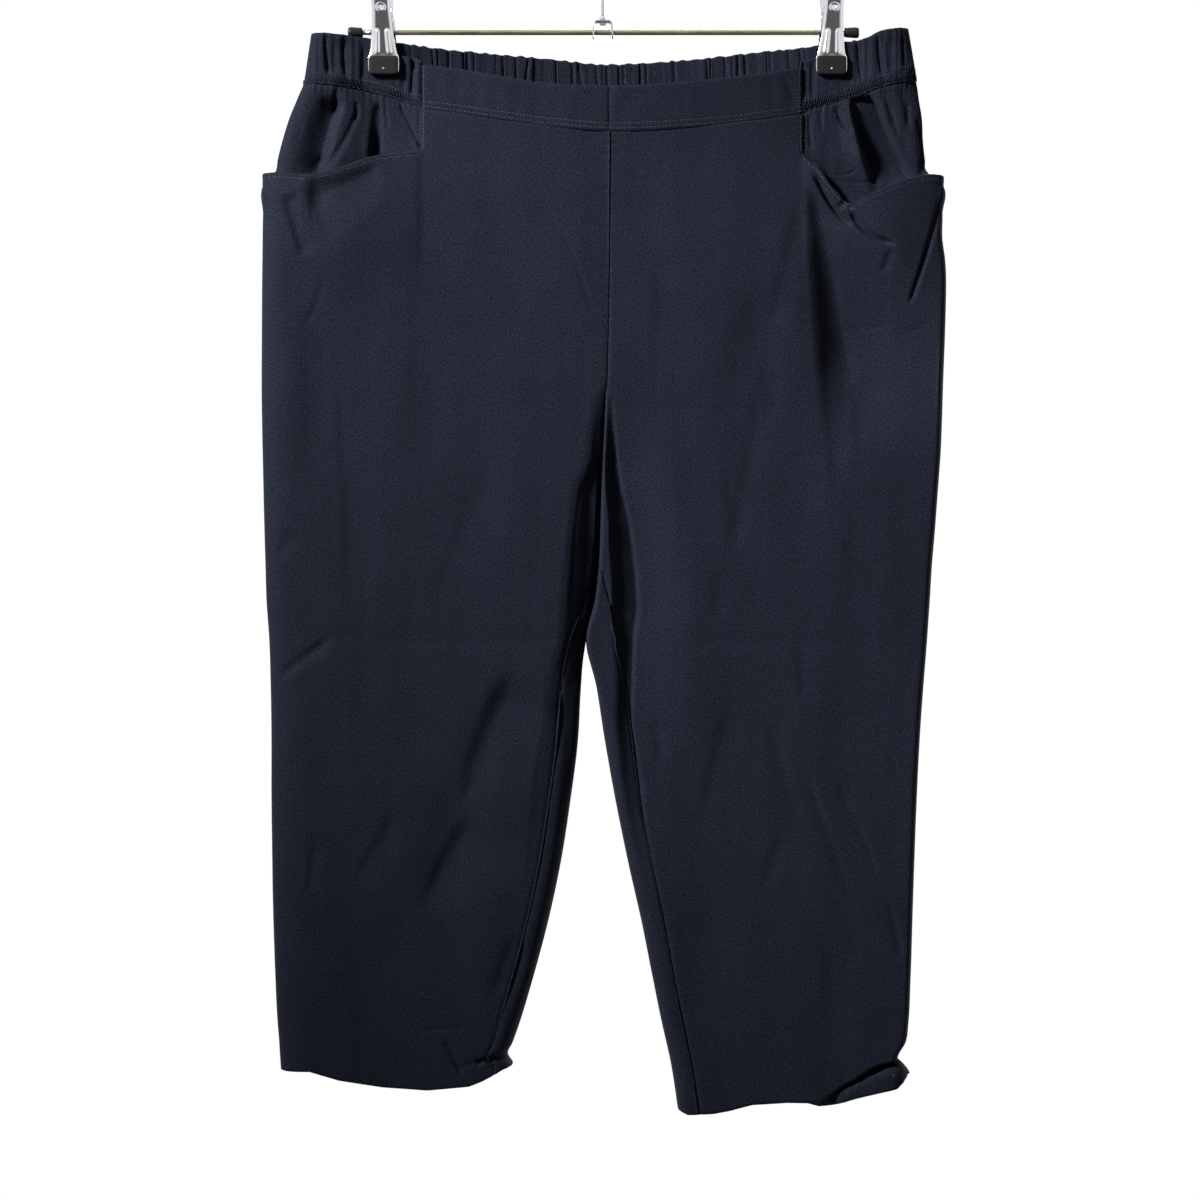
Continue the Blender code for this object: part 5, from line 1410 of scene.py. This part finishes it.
def back_casing(strength):
    """Elastic casing across the back, gathered outside and with open clefts inside."""
    middle = spaced((BAND_FOLD_BOTTOM["left"] + 4.6, 0.6), (BAND_FOLD_BOTTOM["right"] - 4.6, 0.0))
    turn = np.array((0.1, 0.5, 1.2, 2.2, 3.4))
    x = np.concatenate((BAND_FOLD_BOTTOM["left"] + turn, middle,
                        BAND_FOLD_BOTTOM["right"] - turn[::-1]))[None, :]
    ripple = 1.1 * (gather_wave(x, *TOP_EDGE_GATHERS) - 0.6) * clip_press(x)
    top_edge = read(BACK_TOP, "z", x) + ripple
    points, edge = band_surface(x, 1.0, top_edge, read(BACK_BOTTOM, "z", x), 25)
    at_x, at_z = points[..., 0], points[..., 2]
    pressed = clip_press(at_x)
    wave = 1.7 * (gather_wave(at_x, *BACK_GATHERS) - 0.6)
    top_edge, low_edge = read(BACK_TOP, "z", at_x), read(BACK_BOTTOM, "z", at_x)
    top = low_edge + 9.0
    above = step(at_z, top - 2.0, top + 3.0)
    relief = wave * pressed * (0.4 + 0.6 * above)
    relief += ladder_ribs(at_x, at_z, top, low_edge, 0.2, 0.4)
    down = run_length(points, 0)
    relief += seam_dip(down, 0.6, 1.2)
    relief *= round_end(np.abs(at_x - edge), 6.0)
    inside = np.zeros_like(at_x)
    fall = (top_edge - at_z) / 40.0
    for cleft in INSIDE_CLEFTS:
        away = at_x - (cleft.x + cleft.lean * fall * 1.6)
        narrow = np.exp(-np.abs(away) / 0.85) - 0.3 * np.exp(-((away / 4.5) ** 2))
        inside += 2.1 * strength * cleft.depth * narrow
    wall = np.clip(CASING_WALL + relief - inside * pressed, 0.3, 6.0)
    points = points + grid_normals(points, False) * relief[..., None]
    return points, wall, False


# ---------------------------------------------------------------- stitches

def line_below(points, offset):
    """Line on a grid at a distance below its first row, found along each column."""
    down = run_length(points, 0)
    row = np.clip(np.sum(down < offset, axis=0) - 1, 0, len(points) - 2)
    column = np.arange(points.shape[1])
    share = (offset - down[row, column]) / (down[row + 1, column] - down[row, column])
    share = np.clip(share, 0.0, 1.0)[:, None]
    return points[row, column] * (1.0 - share) + points[row + 1, column] * share


def line_run(line):
    """Distance of each point along a line from its first."""
    return np.concatenate(([0.0], np.cumsum(np.linalg.norm(np.diff(line, axis=0), axis=1))))


def even_points(line, pitch):
    """Points at an even pitch along a line."""
    run = line_run(line)
    at = np.arange(pitch * 0.5, run[-1] - pitch * 0.5, pitch)
    return np.stack([np.interp(at, run, line[:, axis]) for axis in range(3)], axis=1)


def stitch_run(line, pitch, length):
    """Starts and ends of the stitches along a line, one of a length in each pitch."""
    starts = even_points(line, pitch)
    heading = np.gradient(starts, axis=0)
    heading /= np.linalg.norm(heading, axis=1, keepdims=True)
    return starts, starts + heading * length


def thread_mesh(name, starts, ends, normals, radius, lift):
    """Stitches as closed six-sided arcs that rise from the cloth by lift and dip at both ends."""
    t = np.array((0.0, 0.12, 0.5, 0.88, 1.0))[None, :, None]
    heading = ends - starts
    heading /= np.maximum(np.linalg.norm(heading, axis=1, keepdims=True), 1e-9)
    normals = normals / np.maximum(np.linalg.norm(normals, axis=1, keepdims=True), 1e-9)
    side = np.cross(normals, heading)
    side /= np.maximum(np.linalg.norm(side, axis=1, keepdims=True), 1e-9)
    up = np.cross(heading, side)
    centre = starts[:, None] + (ends - starts)[:, None] * t
    centre = centre + up[:, None] * (lift * np.sin(math.pi * t) - 0.12)
    thick = radius * np.array((0.45, 0.9, 1.0, 0.9, 0.45))[None, :, None, None]
    angle = np.linspace(0.0, 2.0 * math.pi, 6, endpoint=False)[None, None, :, None]
    rings = centre[:, :, None] + thick * (
        np.cos(angle) * side[:, None, None] + np.sin(angle) * up[:, None, None])
    number = np.arange(len(starts) * 30).reshape(-1, 5, 6)
    following = np.roll(number, -1, axis=2)
    quads = np.stack((number[:, :-1], following[:, :-1], following[:, 1:], number[:, 1:]), axis=-1)
    caps = np.concatenate((number[:, 0, ::-1], number[:, -1]))
    return build_mesh(name, rings, [quads.reshape(-1, 4)[:, ::-1], caps[:, ::-1]])


def sew(name, lines, pitch, length, radius, lift, direction):
    """Thread along several lines on one nearly flat face, which looks along direction."""
    runs = [stitch_run(line, pitch, length) for line in lines]
    starts, ends = (np.concatenate(part) for part in zip(*runs))
    normals = np.broadcast_to(np.asarray(direction, dtype=float), starts.shape)
    return thread_mesh(name, starts, ends, normals, radius, lift)


# ---------------------------------------------------------------- hanger

HOOK_STEM = ((0.0, -68.0), (0.0, -60.0), (0.2, -54.0), (1.6, -49.0), (4.6, -44.6))
SADDLE_ROUTE = (
    (-8.3, -85.6), (-8.0, -80.0), (-7.7, -75.6), (-7.1, -73.0), (-5.8, -71.9), (-3.0, -71.6),
    (0.0, -71.5), (3.0, -71.6), (5.8, -71.9), (7.1, -73.0), (7.7, -75.6), (8.0, -80.0),
    (8.3, -85.6),
)
# Profiles of turned pieces: radius and height
COLLAR_PROFILE = (
    (0.0, -68.0), (2.0, -68.1), (2.6, -68.8), (2.9, -69.8), (2.6, -70.7), (2.0, -71.2),
    (1.7, -71.4), (1.7, -73.2), (2.2, -73.3), (2.9, -73.8), (2.9, -74.3), (2.0, -75.1),
    (0.0, -75.4),
)
CAP_PROFILE = (
    (0.0, 0.0), (2.9, 0.0), (3.45, 0.25), (3.7, 0.9), (4.1, 5.0), (4.4, CAP_LENGTH - 3.0),
    (4.4, CAP_LENGTH - 2.0), (4.15, CAP_LENGTH - 0.9), (3.6, CAP_LENGTH - 0.25),
    (2.6, CAP_LENGTH), (0.0, CAP_LENGTH),
)
RIVET_PROFILE = ((0.0, -1.0), (1.0, -1.0), (1.0, 0.1), (0.9, 0.5), (0.6, 0.8), (0.0, 0.8))


def smooth_route(route, count):
    """Even points on a smooth curve through points in the front plane: x, z and their run."""
    run = line_run(route)
    at = np.linspace(0.0, run[-1], count)
    return smooth_at(at, run, route[:, 0]), smooth_at(at, run, route[:, 1]), at


def hook_route():
    """Centre line of the hook: stem, a bend to one side, then the round bend to its tip."""
    angle = np.radians(np.arange(-62.0, 209.0, 9.0))
    centre_z = 1.6 - HOOK_RADIUS
    bend = np.stack((HOOK_RADIUS * np.cos(angle), centre_z + HOOK_RADIUS * np.sin(angle)), axis=1)
    x, z, at = smooth_route(np.concatenate((np.array(HOOK_STEM), bend)), 110)
    return np.stack((x, 0.0 * x, z), axis=1), at


def saddle_surface():
    """Strap bent over the rod: the route swept along Y, its two ends rounded as half ellipses."""
    x, z, at = smooth_route(np.array(SADDLE_ROUTE), 61)
    end = np.minimum(at, at[-1] - at)
    round_off = np.sqrt(1.0 - (1.0 - np.clip(end / SADDLE_HALF, 0.06, 1.0)) ** 2)
    share = np.linspace(-1.0, 1.0, 9)[:, None]
    return np.stack((x + 0.0 * share, SADDLE_HALF * round_off * share, z + 0.0 * share), axis=-1)


def coil_route(centre):
    """Centre line of a clip's spring round the rod, a helix, and the way out at each point."""
    angle = np.linspace(0.0, SPRING_TURNS * 2.0 * math.pi, 140)
    x = centre + np.linspace(-SPRING_HALF, SPRING_HALF, 140)
    line = np.stack((x, SPRING_RADIUS * np.sin(angle), ROD_Z + SPRING_RADIUS * np.cos(angle)),
                    axis=1)
    return line, np.stack((0.0 * x, np.sin(angle), np.cos(angle)), axis=1)


def clip_plate(centre, face):
    """Pressed plate of a clip and the cells kept round its eye.

    Width and stand-off by height, with two long flutes and a raised ring round the eye; the
    points inside the eye are moved out to its circle and the cells inside left out.
    """
    z = np.concatenate((np.linspace(-50.0, -53.0, 7), np.linspace(-54.0, -57.0, 5),
                        np.linspace(-57.4, -66.6, 28), np.linspace(-67.5, -115.0, 49)))
    z = np.unique(np.concatenate((z, np.linspace(-112.6, -115.0, 9))))[::-1][:, None]
    half_width = read(CLIP_ROWS, "half_width", z)
    out = read(CLIP_ROWS, "out", z)
    share = np.sin(np.linspace(-0.5, 0.5, 45) * math.pi)[None, :]
    flute = np.exp(-(((np.abs(share) - 0.46) / 0.15) ** 2))
    flute = flute * step(-z, 78.5, 81.0) * (1.0 - step(-z, 97.0, 99.5))
    lean = CLIP_LEAN["front" if face < 0.0 else "back"] * (1.0 if centre < 0.0 else -1.0)
    x = share * half_width
    z = z + 0.0 * x
    y = out + 1.0 * flute - 1.1 * np.abs(share) ** 5
    away = np.hypot(x, z - EYE_Z)
    y = y + 0.55 * np.exp(-(((away - 3.0) / 0.7) ** 2))
    inside = away < EYE_RADIUS
    pull = np.where(inside, EYE_RADIUS / np.maximum(away, 0.05), 1.0)
    x, z = x * pull, EYE_Z + (z - EYE_Z) * pull
    keep = ~(inside[:-1, :-1] & inside[1:, :-1] & inside[:-1, 1:] & inside[1:, 1:])
    x = x + centre + lean * np.clip((z + 100.0) / 48.0, 0.0, 1.0)
    return np.stack((x, face * y, z), axis=-1), keep


def pad_block(name, centre, y, z, size, soft):
    """Rubber pad: a superellipsoid block, its corners rounded by the power soft."""
    u = np.linspace(-math.pi / 2, math.pi / 2, 25)[:, None]
    v = np.linspace(-math.pi, math.pi, 48, endpoint=False)[None, :]

    def power(value):
        return np.sign(value) * np.abs(value) ** soft

    x = size[0] / 2 * power(np.cos(u)) * power(np.cos(v))
    depth = size[1] / 2 * power(np.sin(u)) + 0.0 * v
    height = size[2] / 2 * power(np.cos(u)) * power(np.sin(v))
    rings = np.stack((centre + x, y + depth, z + height), axis=-1)[1:-1]
    quads, number = ring_faces(*rings.shape[:2])
    return build_mesh(name, rings, [quads[:, ::-1], number[:1], number[-1:, ::-1]])


# ---------------------------------------------------------------- settings

def colour_setting(name, description, code):
    """Setting for a colour given as an sRGB hex code."""
    return bpy.props.FloatVectorProperty(name=name, description=description, size=4, min=0.0,
                                         max=1.0, default=linear(code), subtype="COLOR")


def length_setting(name, description, default, low, high):
    """Setting for a small size, in millimetres."""
    return bpy.props.FloatProperty(name=name, description=description, default=default * MM,
                                   min=low * MM, max=high * MM, precision=5, unit="LENGTH")


def power_setting(name, description, default):
    """Setting for the power of a light, in watts."""
    return bpy.props.FloatProperty(name=name, description=description, default=default,
                                   min=0.0, max=500.0)


class CapriClothSettings(bpy.types.PropertyGroup):
    """Sizes and colours of the cloth."""
    strength: bpy.props.FloatProperty(
        name="Crease strength", description="Scale of every crease and of the slow drift",
        default=1.0, min=0.0, max=2.0, subtype="FACTOR")
    colour: colour_setting("Cloth colour", "Colour of the poplin", "#191c27")
    thread_colour: colour_setting("Thread colour", "Colour of the topstitching", "#2a2c38")
    thread_width: length_setting("Thread width", "Thickness of the topstitching thread",
                                 0.34, 0.1, 1.0)
    stitch_pitch: length_setting("Stitch pitch", "Distance from one topstitch to the next",
                                 3.0, 1.0, 6.0)


class CapriHangerSettings(bpy.types.PropertyGroup):
    """Sizes and colours of the hanger."""
    wire_diameter: length_setting("Hook wire", "Diameter of the hook's wire", 3.2, 1.0, 5.0)
    rod_diameter: length_setting("Rod", "Diameter of the rod", 4.0, 2.0, 6.0)
    chrome_colour: colour_setting("Chrome colour", "Colour of the plated parts", "#dcdde2")
    rod_colour: colour_setting("Rod colour", "Colour of the passivated rod", "#a39a80")


class CapriStageSettings(bpy.types.PropertyGroup):
    """Floor and light."""
    floor_drop: bpy.props.FloatProperty(
        name="Floor", description="Distance of the floor below the hook",
        default=1.6, min=1.0, max=2.5, unit="LENGTH")
    floor_colour: colour_setting("Floor colour", "Colour of the floor", "#f2f2f2")
    key_power: power_setting("Key light", "Power of the softbox above the front, in watts", 9.4)
    back_power: power_setting("Back light", "Power of the softbox behind, in watts", 34.0)
    side_power: power_setting("Side light", "Power of the softbox at the side, in watts", 14.0)
    room_light: bpy.props.FloatProperty(
        name="Room light", description="Strength of the even light of the room",
        default=0.06, min=0.0, max=2.0)


# ---------------------------------------------------------------- operators

def made_once(name, make, *facts):
    """The material of this name, made at its first use."""
    return bpy.data.materials.get(name) or make(name, *facts)


def cloth_materials():
    """Poplin of the panels, and of the gathered casings, which carry less lint."""
    colour = tuple(bpy.context.scene.capri_cloth.colour)
    return (made_once("woven_stretch_poplin", woven_poplin, colour, 0.012),
            made_once("gathered_stretch_poplin", woven_poplin, colour, 0.004))


def cloth_piece(name, surface, material, node):
    """Shell on a surface (points, wall, flip and the cells kept), finished as a piece."""
    return finish_piece(cloth_shell(name, *surface), material, [node])


def chrome_material():
    """Bright chrome plate over pressed steel."""
    colour = tuple(bpy.context.scene.capri_hanger.chrome_colour)
    return made_once("chrome_plated_steel", plated_metal, colour, 0.09, (900.0, 900.0, 160.0),
                     0.12)


class CAPRI_OT_front_panels(bpy.types.Operator):
    """Build the two front panels with their pocket mouths and turned hems"""
    bl_idname = "capri.front_panels"
    bl_label = "Front panels"

    def execute(self, context):
        body, _ = cloth_materials()
        for leg in LEGS:
            name = leg + "_front_panel"
            *surface, join_row, seam_column = front_panel(
                leg, context.scene.capri_cloth.strength)
            piece = cloth_piece(name, surface, body, "front_" + leg)
            GRIDS[name] = (surface[0], join_row, seam_column)
        return {"FINISHED"}


class CAPRI_OT_back_panels(bpy.types.Operator):
    """Build the two back panels, which wrap round the inner leg to the inseam"""
    bl_idname = "capri.back_panels"
    bl_label = "Back panels"

    def execute(self, context):
        body, _ = cloth_materials()
        for leg in LEGS:
            surface = back_panel(leg, context.scene.capri_cloth.strength)
            piece = cloth_piece(leg + "_back_panel", surface, body,
                                "back_" + leg)
        return {"FINISHED"}


class CAPRI_OT_side_yokes(bpy.types.Operator):
    """Build the side pieces that show above the pocket mouths"""
    bl_idname = "capri.side_yokes"
    bl_label = "Side yokes"

    def execute(self, context):
        body, _ = cloth_materials()
        for leg in LEGS:
            surface = side_yoke(leg, context.scene.capri_cloth.strength)
            piece = cloth_piece(leg + "_side_yoke", surface, body,
                                "hip_yoke_" + leg)
        return {"FINISHED"}


class CAPRI_OT_waistband(bpy.types.Operator):
    """Build the flat front band and the elastic casing at the sides and across the back"""
    bl_idname = "capri.waistband"
    bl_label = "Waistband"

    def execute(self, context):
        body, casing = cloth_materials()
        strength = context.scene.capri_cloth.strength
        surface = front_band(strength)
        piece = cloth_piece("front_waistband", surface, body, "band_front")
        GRIDS["front_waistband"] = (surface[0],)
        for leg in LEGS:
            name = leg + "_side_casing"
            surface = side_casing(leg, strength)
            piece = cloth_piece(name, surface, casing, "band_side_" + leg)
            GRIDS[name] = (surface[0],)
        surface = back_casing(strength)
        piece = cloth_piece("back_casing", surface, casing, "band_back")
        GRIDS["back_casing"] = (surface[0],)
        return {"FINISHED"}


class CAPRI_OT_stitching(bpy.types.Operator):
    """Sew the coverstitch, the pocket and band end stitches, and the gathering rows"""
    bl_idname = "capri.stitching"
    bl_label = "Stitching"

    def execute(self, context):
        settings = context.scene.capri_cloth
        thread = spun_thread("spun_polyester_thread", tuple(settings.thread_colour))
        radius = settings.thread_width / MM / 2.0
        pitch = settings.stitch_pitch / MM
        front, back = (0.0, -1.0, 0.0), (0.0, 1.0, 0.0)
        band = GRIDS["front_waistband"][0]
        rows = [line_below(band[::-1], row) for row in BAND_ROWS]
        ends = [line_below(np.swapaxes(side, 0, 1), SEAM_ROW) for side in (band, band[:, ::-1])]
        pieces = [
            sew("waistband_coverstitch", rows, pitch, pitch * 0.74, radius, THREAD_LIFT, front),
            sew("waistband_end_stitches", ends, pitch * 0.9, pitch * 0.62, radius, THREAD_LIFT,
                front)]
        for leg in LEGS:
            points, join_row, seam_column = GRIDS[leg + "_front_panel"]
            mouth = line_below(points[join_row:, :seam_column + 1], MOUTH_ROW)[6:]
            beside = line_below(np.swapaxes(points[2:join_row, seam_column:], 0, 1), SEAM_ROW)
            pieces.append(sew(leg + "_pocket_stitches", [mouth, beside], pitch * 0.85,
                              pitch * 0.6, radius, THREAD_LIFT, front))
            casing = GRIDS[leg + "_side_casing"][0][::-1, 8:]
            rows = [line_below(casing, row) for row in SIDE_CASING_ROWS]
            pieces.append(sew(leg + "_casing_stitches", rows, 2.1, 1.35, radius * 0.9,
                              GATHERING_LIFT, front))
        casing = GRIDS["back_casing"][0][::-1, 8:-8]
        rows = [line_below(casing, row) for row in BACK_CASING_ROWS]
        pieces.append(sew("back_casing_stitches", rows, 2.6, 1.8, radius * 0.9, GATHERING_LIFT,
                          back))
        for piece in pieces:
            finish_piece(piece, thread)
        return {"FINISHED"}


class CAPRI_OT_hook(bpy.types.Operator):
    """Build the wire hook and the bent saddle that it swivels in"""
    bl_idname = "capri.hook"
    bl_label = "Hook"

    def execute(self, context):
        chrome = chrome_material()
        radius = context.scene.capri_hanger.wire_diameter / MM / 2.0
        line, at = hook_route()
        thick = radius * np.sqrt(np.clip((at[-1] - at) / 1.6, 0.02, 1.0))
        wire = tube("hook_wire", line, thick, (0.0, 1.0, 0.0), 20)
        collar = turned("hook_collar", COLLAR_PROFILE, (0.0, 0.0, 0.0), (0.0, 0.0, 1.0), 28)
        finish_piece(joined("hook_and_rivet", [wire, collar]), chrome, ["hook"])
        saddle = cloth_shell("hook_saddle_strap", saddle_surface(), SADDLE_WALL, False, None,
                             0.25)
        finish_piece(saddle, chrome, ["hook_saddle"])
        return {"FINISHED"}


class CAPRI_OT_rod(bpy.types.Operator):
    """Build the rod and its two end caps"""
    bl_idname = "capri.rod"
    bl_label = "Rod and caps"

    def execute(self, context):
        settings = context.scene.capri_hanger
        steel = plated_metal("passivated_drawn_steel", tuple(settings.rod_colour), 0.32,
                             (40.0, 1600.0, 1600.0), 0.25)
        cap = moulded_polymer("moulded_polythene_cap", linear("#1d1b1f"), 0.42, 900.0)
        x = np.linspace(ROD_LEFT, ROD_RIGHT, 60)
        line = np.stack((x, 0.0 * x, ROD_Z + 0.0 * x), axis=1)
        rod = tube("drawn_rod", line, settings.rod_diameter / MM / 2.0, (0.0, 1.0, 0.0), 24)
        finish_piece(rod, steel, ["hanger_rod"])
        for side, end, way in (("left", ROD_LEFT, -1.0), ("right", ROD_RIGHT, 1.0)):
            piece = turned(side + "_end_cap", CAP_PROFILE, (end + 0.3 * way, 0.0, ROD_Z),
                           (way, 0.0, 0.0), 36)
            finish_piece(piece, cap, ["rod_cap_" + side])
        return {"FINISHED"}


class CAPRI_OT_clips(bpy.types.Operator):
    """Build the two pinch clips: plates, rubber pads with rivets, and coil springs"""
    bl_idname = "capri.clips"
    bl_label = "Clips"

    def execute(self, context):
        chrome = chrome_material()
        rubber = moulded_polymer("moulded_rubber_pad", linear("#101012"), 0.62, 1500.0)
        wire = plated_metal("spring_steel_wire", linear("#9c9b98"), 0.3, (600.0, 600.0, 600.0),
                            0.2)
        for side, centre in CLIP_CENTRES.items():
            for face_name, face in (("front", -1.0), ("back", 1.0)):
                node = face_name + "_" + side
                name = side + "_" + face_name + "_clip_"
                surface, keep = clip_plate(centre, face)
                plate = cloth_shell(name + "plate", surface, PLATE_WALL, face < 0.0, keep)
                finish_piece(plate, chrome, ["clip_plate_" + node])
                pad = pad_block(name + "pad", centre, face * PAD_Y, PAD_Z, PAD_SIZE, 0.24)
                finish_piece(pad, rubber, ["clip_pad_" + node])
                rivet = turned(name + "rivet", RIVET_PROFILE,
                               (centre, face * RIVET_Y, RIVET_Z), (0.0, face, 0.0), 20)
                finish_piece(rivet, chrome)
            line, spoke = coil_route(centre)
            coil = tube(side + "_coil_spring", line, SPRING_WIRE, spoke, 10)
            finish_piece(coil, wire, ["clip_spring_" + side])
        return {"FINISHED"}


def pale_floor(drop, colour):
    """Round floor of rolled matt paint, drop metres below the hook."""
    angle = np.linspace(0.0, 2.0 * math.pi, FLOOR_SIDES, endpoint=False)
    ring = FLOOR_RADIUS * np.stack((np.cos(angle), np.sin(angle), 0.0 * angle), axis=1)
    ring[:, 2] = -drop / MM
    under = ring - np.array((0.0, 0.0, FLOOR_WALL))
    number = np.arange(FLOOR_SIDES)
    following = np.roll(number, -1)
    sides = np.stack((number, number + FLOOR_SIDES, following + FLOOR_SIDES, following), axis=1)
    floor = build_mesh("pale_floor", np.concatenate((ring, under)),
                       [number[None, :], number[None, ::-1] + FLOOR_SIDES, sides])
    floor.data.shade_flat()
    matt, tree, shader = start_material("rolled_matt_paint", colour, 0.8)
    place = add_node(tree, "ShaderNodeTexCoord").outputs["Object"]
    nap = add_node(tree, "ShaderNodeTexNoise", {"Vector": place, "Scale": 400.0})
    raise_by(tree, shader, nap.outputs["Fac"], 0.1, 0.0005)
    floor.data.materials.append(matt)


def studio_world(room_light):
    """White to the camera, dim to the cloth, and bright side panels and ceiling in the chrome."""
    world = bpy.data.worlds.new("studio")
    world.use_nodes = True
    tree = world.node_tree
    tree.nodes.clear()
    place = add_node(tree, "ShaderNodeTexCoord").outputs["Generated"]
    parts = add_node(tree, "ShaderNodeSeparateXYZ", {0: place})
    height = add_node(tree, "ShaderNodeMapRange", {
        "Value": parts.outputs["Z"], "From Min": -0.25, "From Max": 0.9,
        "To Min": 0.12 * room_light, "To Max": room_light})
    aside = add_node(tree, "ShaderNodeMath", {0: parts.outputs["X"]}, operation="ABSOLUTE")
    panels = add_node(tree, "ShaderNodeMapRange", {
        "Value": aside.outputs[0], "From Min": 0.2, "From Max": 0.5,
        "To Min": 0.13, "To Max": 1.0})
    ceiling = add_node(tree, "ShaderNodeMapRange", {
        "Value": parts.outputs["Z"], "From Min": 0.3, "From Max": 0.6,
        "To Min": 0.0, "To Max": 1.0})
    studio = add_node(tree, "ShaderNodeMath", {
        0: panels.outputs[0], 1: ceiling.outputs[0]}, operation="MAXIMUM")
    ray = add_node(tree, "ShaderNodeLightPath")
    room, mirrored, plain = (add_node(tree, "ShaderNodeBackground", {
        "Color": linear("#ffffff"), "Strength": strength}).outputs[0]
        for strength in (height.outputs[0], studio.outputs[0], 1.0))
    lit = add_node(tree, "ShaderNodeMixShader", {
        0: ray.outputs["Is Glossy Ray"], 1: room, 2: mirrored})
    seen = add_node(tree, "ShaderNodeMixShader", {
        0: ray.outputs["Is Camera Ray"], 1: lit.outputs[0], 2: plain})
    add_node(tree, "ShaderNodeOutputWorld", {"Surface": seen.outputs[0]})
    return world


# Softboxes: place and aim in metres, width and height, and the spread of the grid in degrees
Softbox = namedtuple("Softbox", "name place aim size spread")
SOFTBOXES = {
    "key_power": Softbox("front_softbox", (-3.0, -2.1, 1.9), (0.08, 0.0, -0.34), (0.7, 0.6),
                         22.0),
    "side_power": Softbox("side_softbox", (2.5, 1.7, -0.3), (0.2, 0.0, -0.6), (0.5, 1.2), 180.0),
    "back_power": Softbox("back_softbox", (0.4, 1.5, 0.5), (0.0, 0.0, -0.45), (0.9, 0.6), 180.0),
}


def hang_softbox(box, power):
    """Light a softbox that isn't seen itself."""
    light = bpy.data.lights.new(box.name, "AREA")
    light.shape = "RECTANGLE"
    light.size, light.size_y = box.size
    light.energy = power
    light.spread = math.radians(box.spread)
    lamp = bpy.data.objects.new(box.name, light)
    lamp.location = box.place
    facing = Vector(box.aim) - Vector(box.place)
    lamp.rotation_euler = facing.to_track_quat("-Z", "Y").to_euler()
    lamp.visible_camera = False
    bpy.context.scene.collection.objects.link(lamp)


def set_up_camera():
    """Camera square to the garment's front."""
    lens = bpy.data.cameras.new("camera")
    lens.lens = CAMERA_LENS
    lens.sensor_width = CAMERA_SENSOR
    camera = bpy.data.objects.new("camera", lens)
    camera.location = CAMERA_PLACE
    camera.rotation_euler = (math.pi / 2, 0.0, 0.0)
    bpy.context.scene.collection.objects.link(camera)
    return camera


class CAPRI_OT_stage(bpy.types.Operator):
    """Make the pale floor, the soft studio light and the camera"""
    bl_idname = "capri.stage"
    bl_label = "Stage"

    def execute(self, context):
        settings = context.scene.capri_stage
        pale_floor(settings.floor_drop, tuple(settings.floor_colour))
        context.scene.world = studio_world(settings.room_light)
        for power, box in SOFTBOXES.items():
            hang_softbox(box, getattr(settings, power))
        context.scene.camera = set_up_camera()
        context.scene.view_settings.view_transform = "Standard"
        return {"FINISHED"}


STEPS = (CAPRI_OT_front_panels, CAPRI_OT_back_panels, CAPRI_OT_side_yokes, CAPRI_OT_waistband,
         CAPRI_OT_stitching, CAPRI_OT_hook, CAPRI_OT_rod, CAPRI_OT_clips, CAPRI_OT_stage)


class CAPRI_PT_tools(bpy.types.Panel):
    """Lists the settings and the building steps"""
    bl_idname = "CAPRI_PT_tools"
    bl_label = "Capri pants"
    bl_space_type = "VIEW_3D"
    bl_region_type = "UI"
    bl_category = "Capri pants"

    def draw(self, context):
        scene = context.scene
        for settings in (scene.capri_cloth, scene.capri_hanger, scene.capri_stage):
            box = self.layout.box()
            for name in settings.__annotations__:
                box.prop(settings, name)
        for step_class in STEPS:
            self.layout.operator(step_class.bl_idname)


CLASSES = (CapriClothSettings, CapriHangerSettings, CapriStageSettings, *STEPS, CAPRI_PT_tools)


def register():
    """Register the classes and hang the settings on the scene."""
    for item in CLASSES:
        bpy.utils.register_class(item)
    bpy.types.Scene.capri_cloth = bpy.props.PointerProperty(type=CapriClothSettings)
    bpy.types.Scene.capri_hanger = bpy.props.PointerProperty(type=CapriHangerSettings)
    bpy.types.Scene.capri_stage = bpy.props.PointerProperty(type=CapriStageSettings)


def unregister():
    """Undo register."""
    del bpy.types.Scene.capri_stage
    del bpy.types.Scene.capri_hanger
    del bpy.types.Scene.capri_cloth
    for item in reversed(CLASSES):
        bpy.utils.unregister_class(item)


def main():
    """Register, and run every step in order."""
    register()
    for step_class in STEPS:
        group, name = step_class.bl_idname.split(".")
        getattr(getattr(bpy.ops, group), name)()


if __name__ == "__main__":
    main()
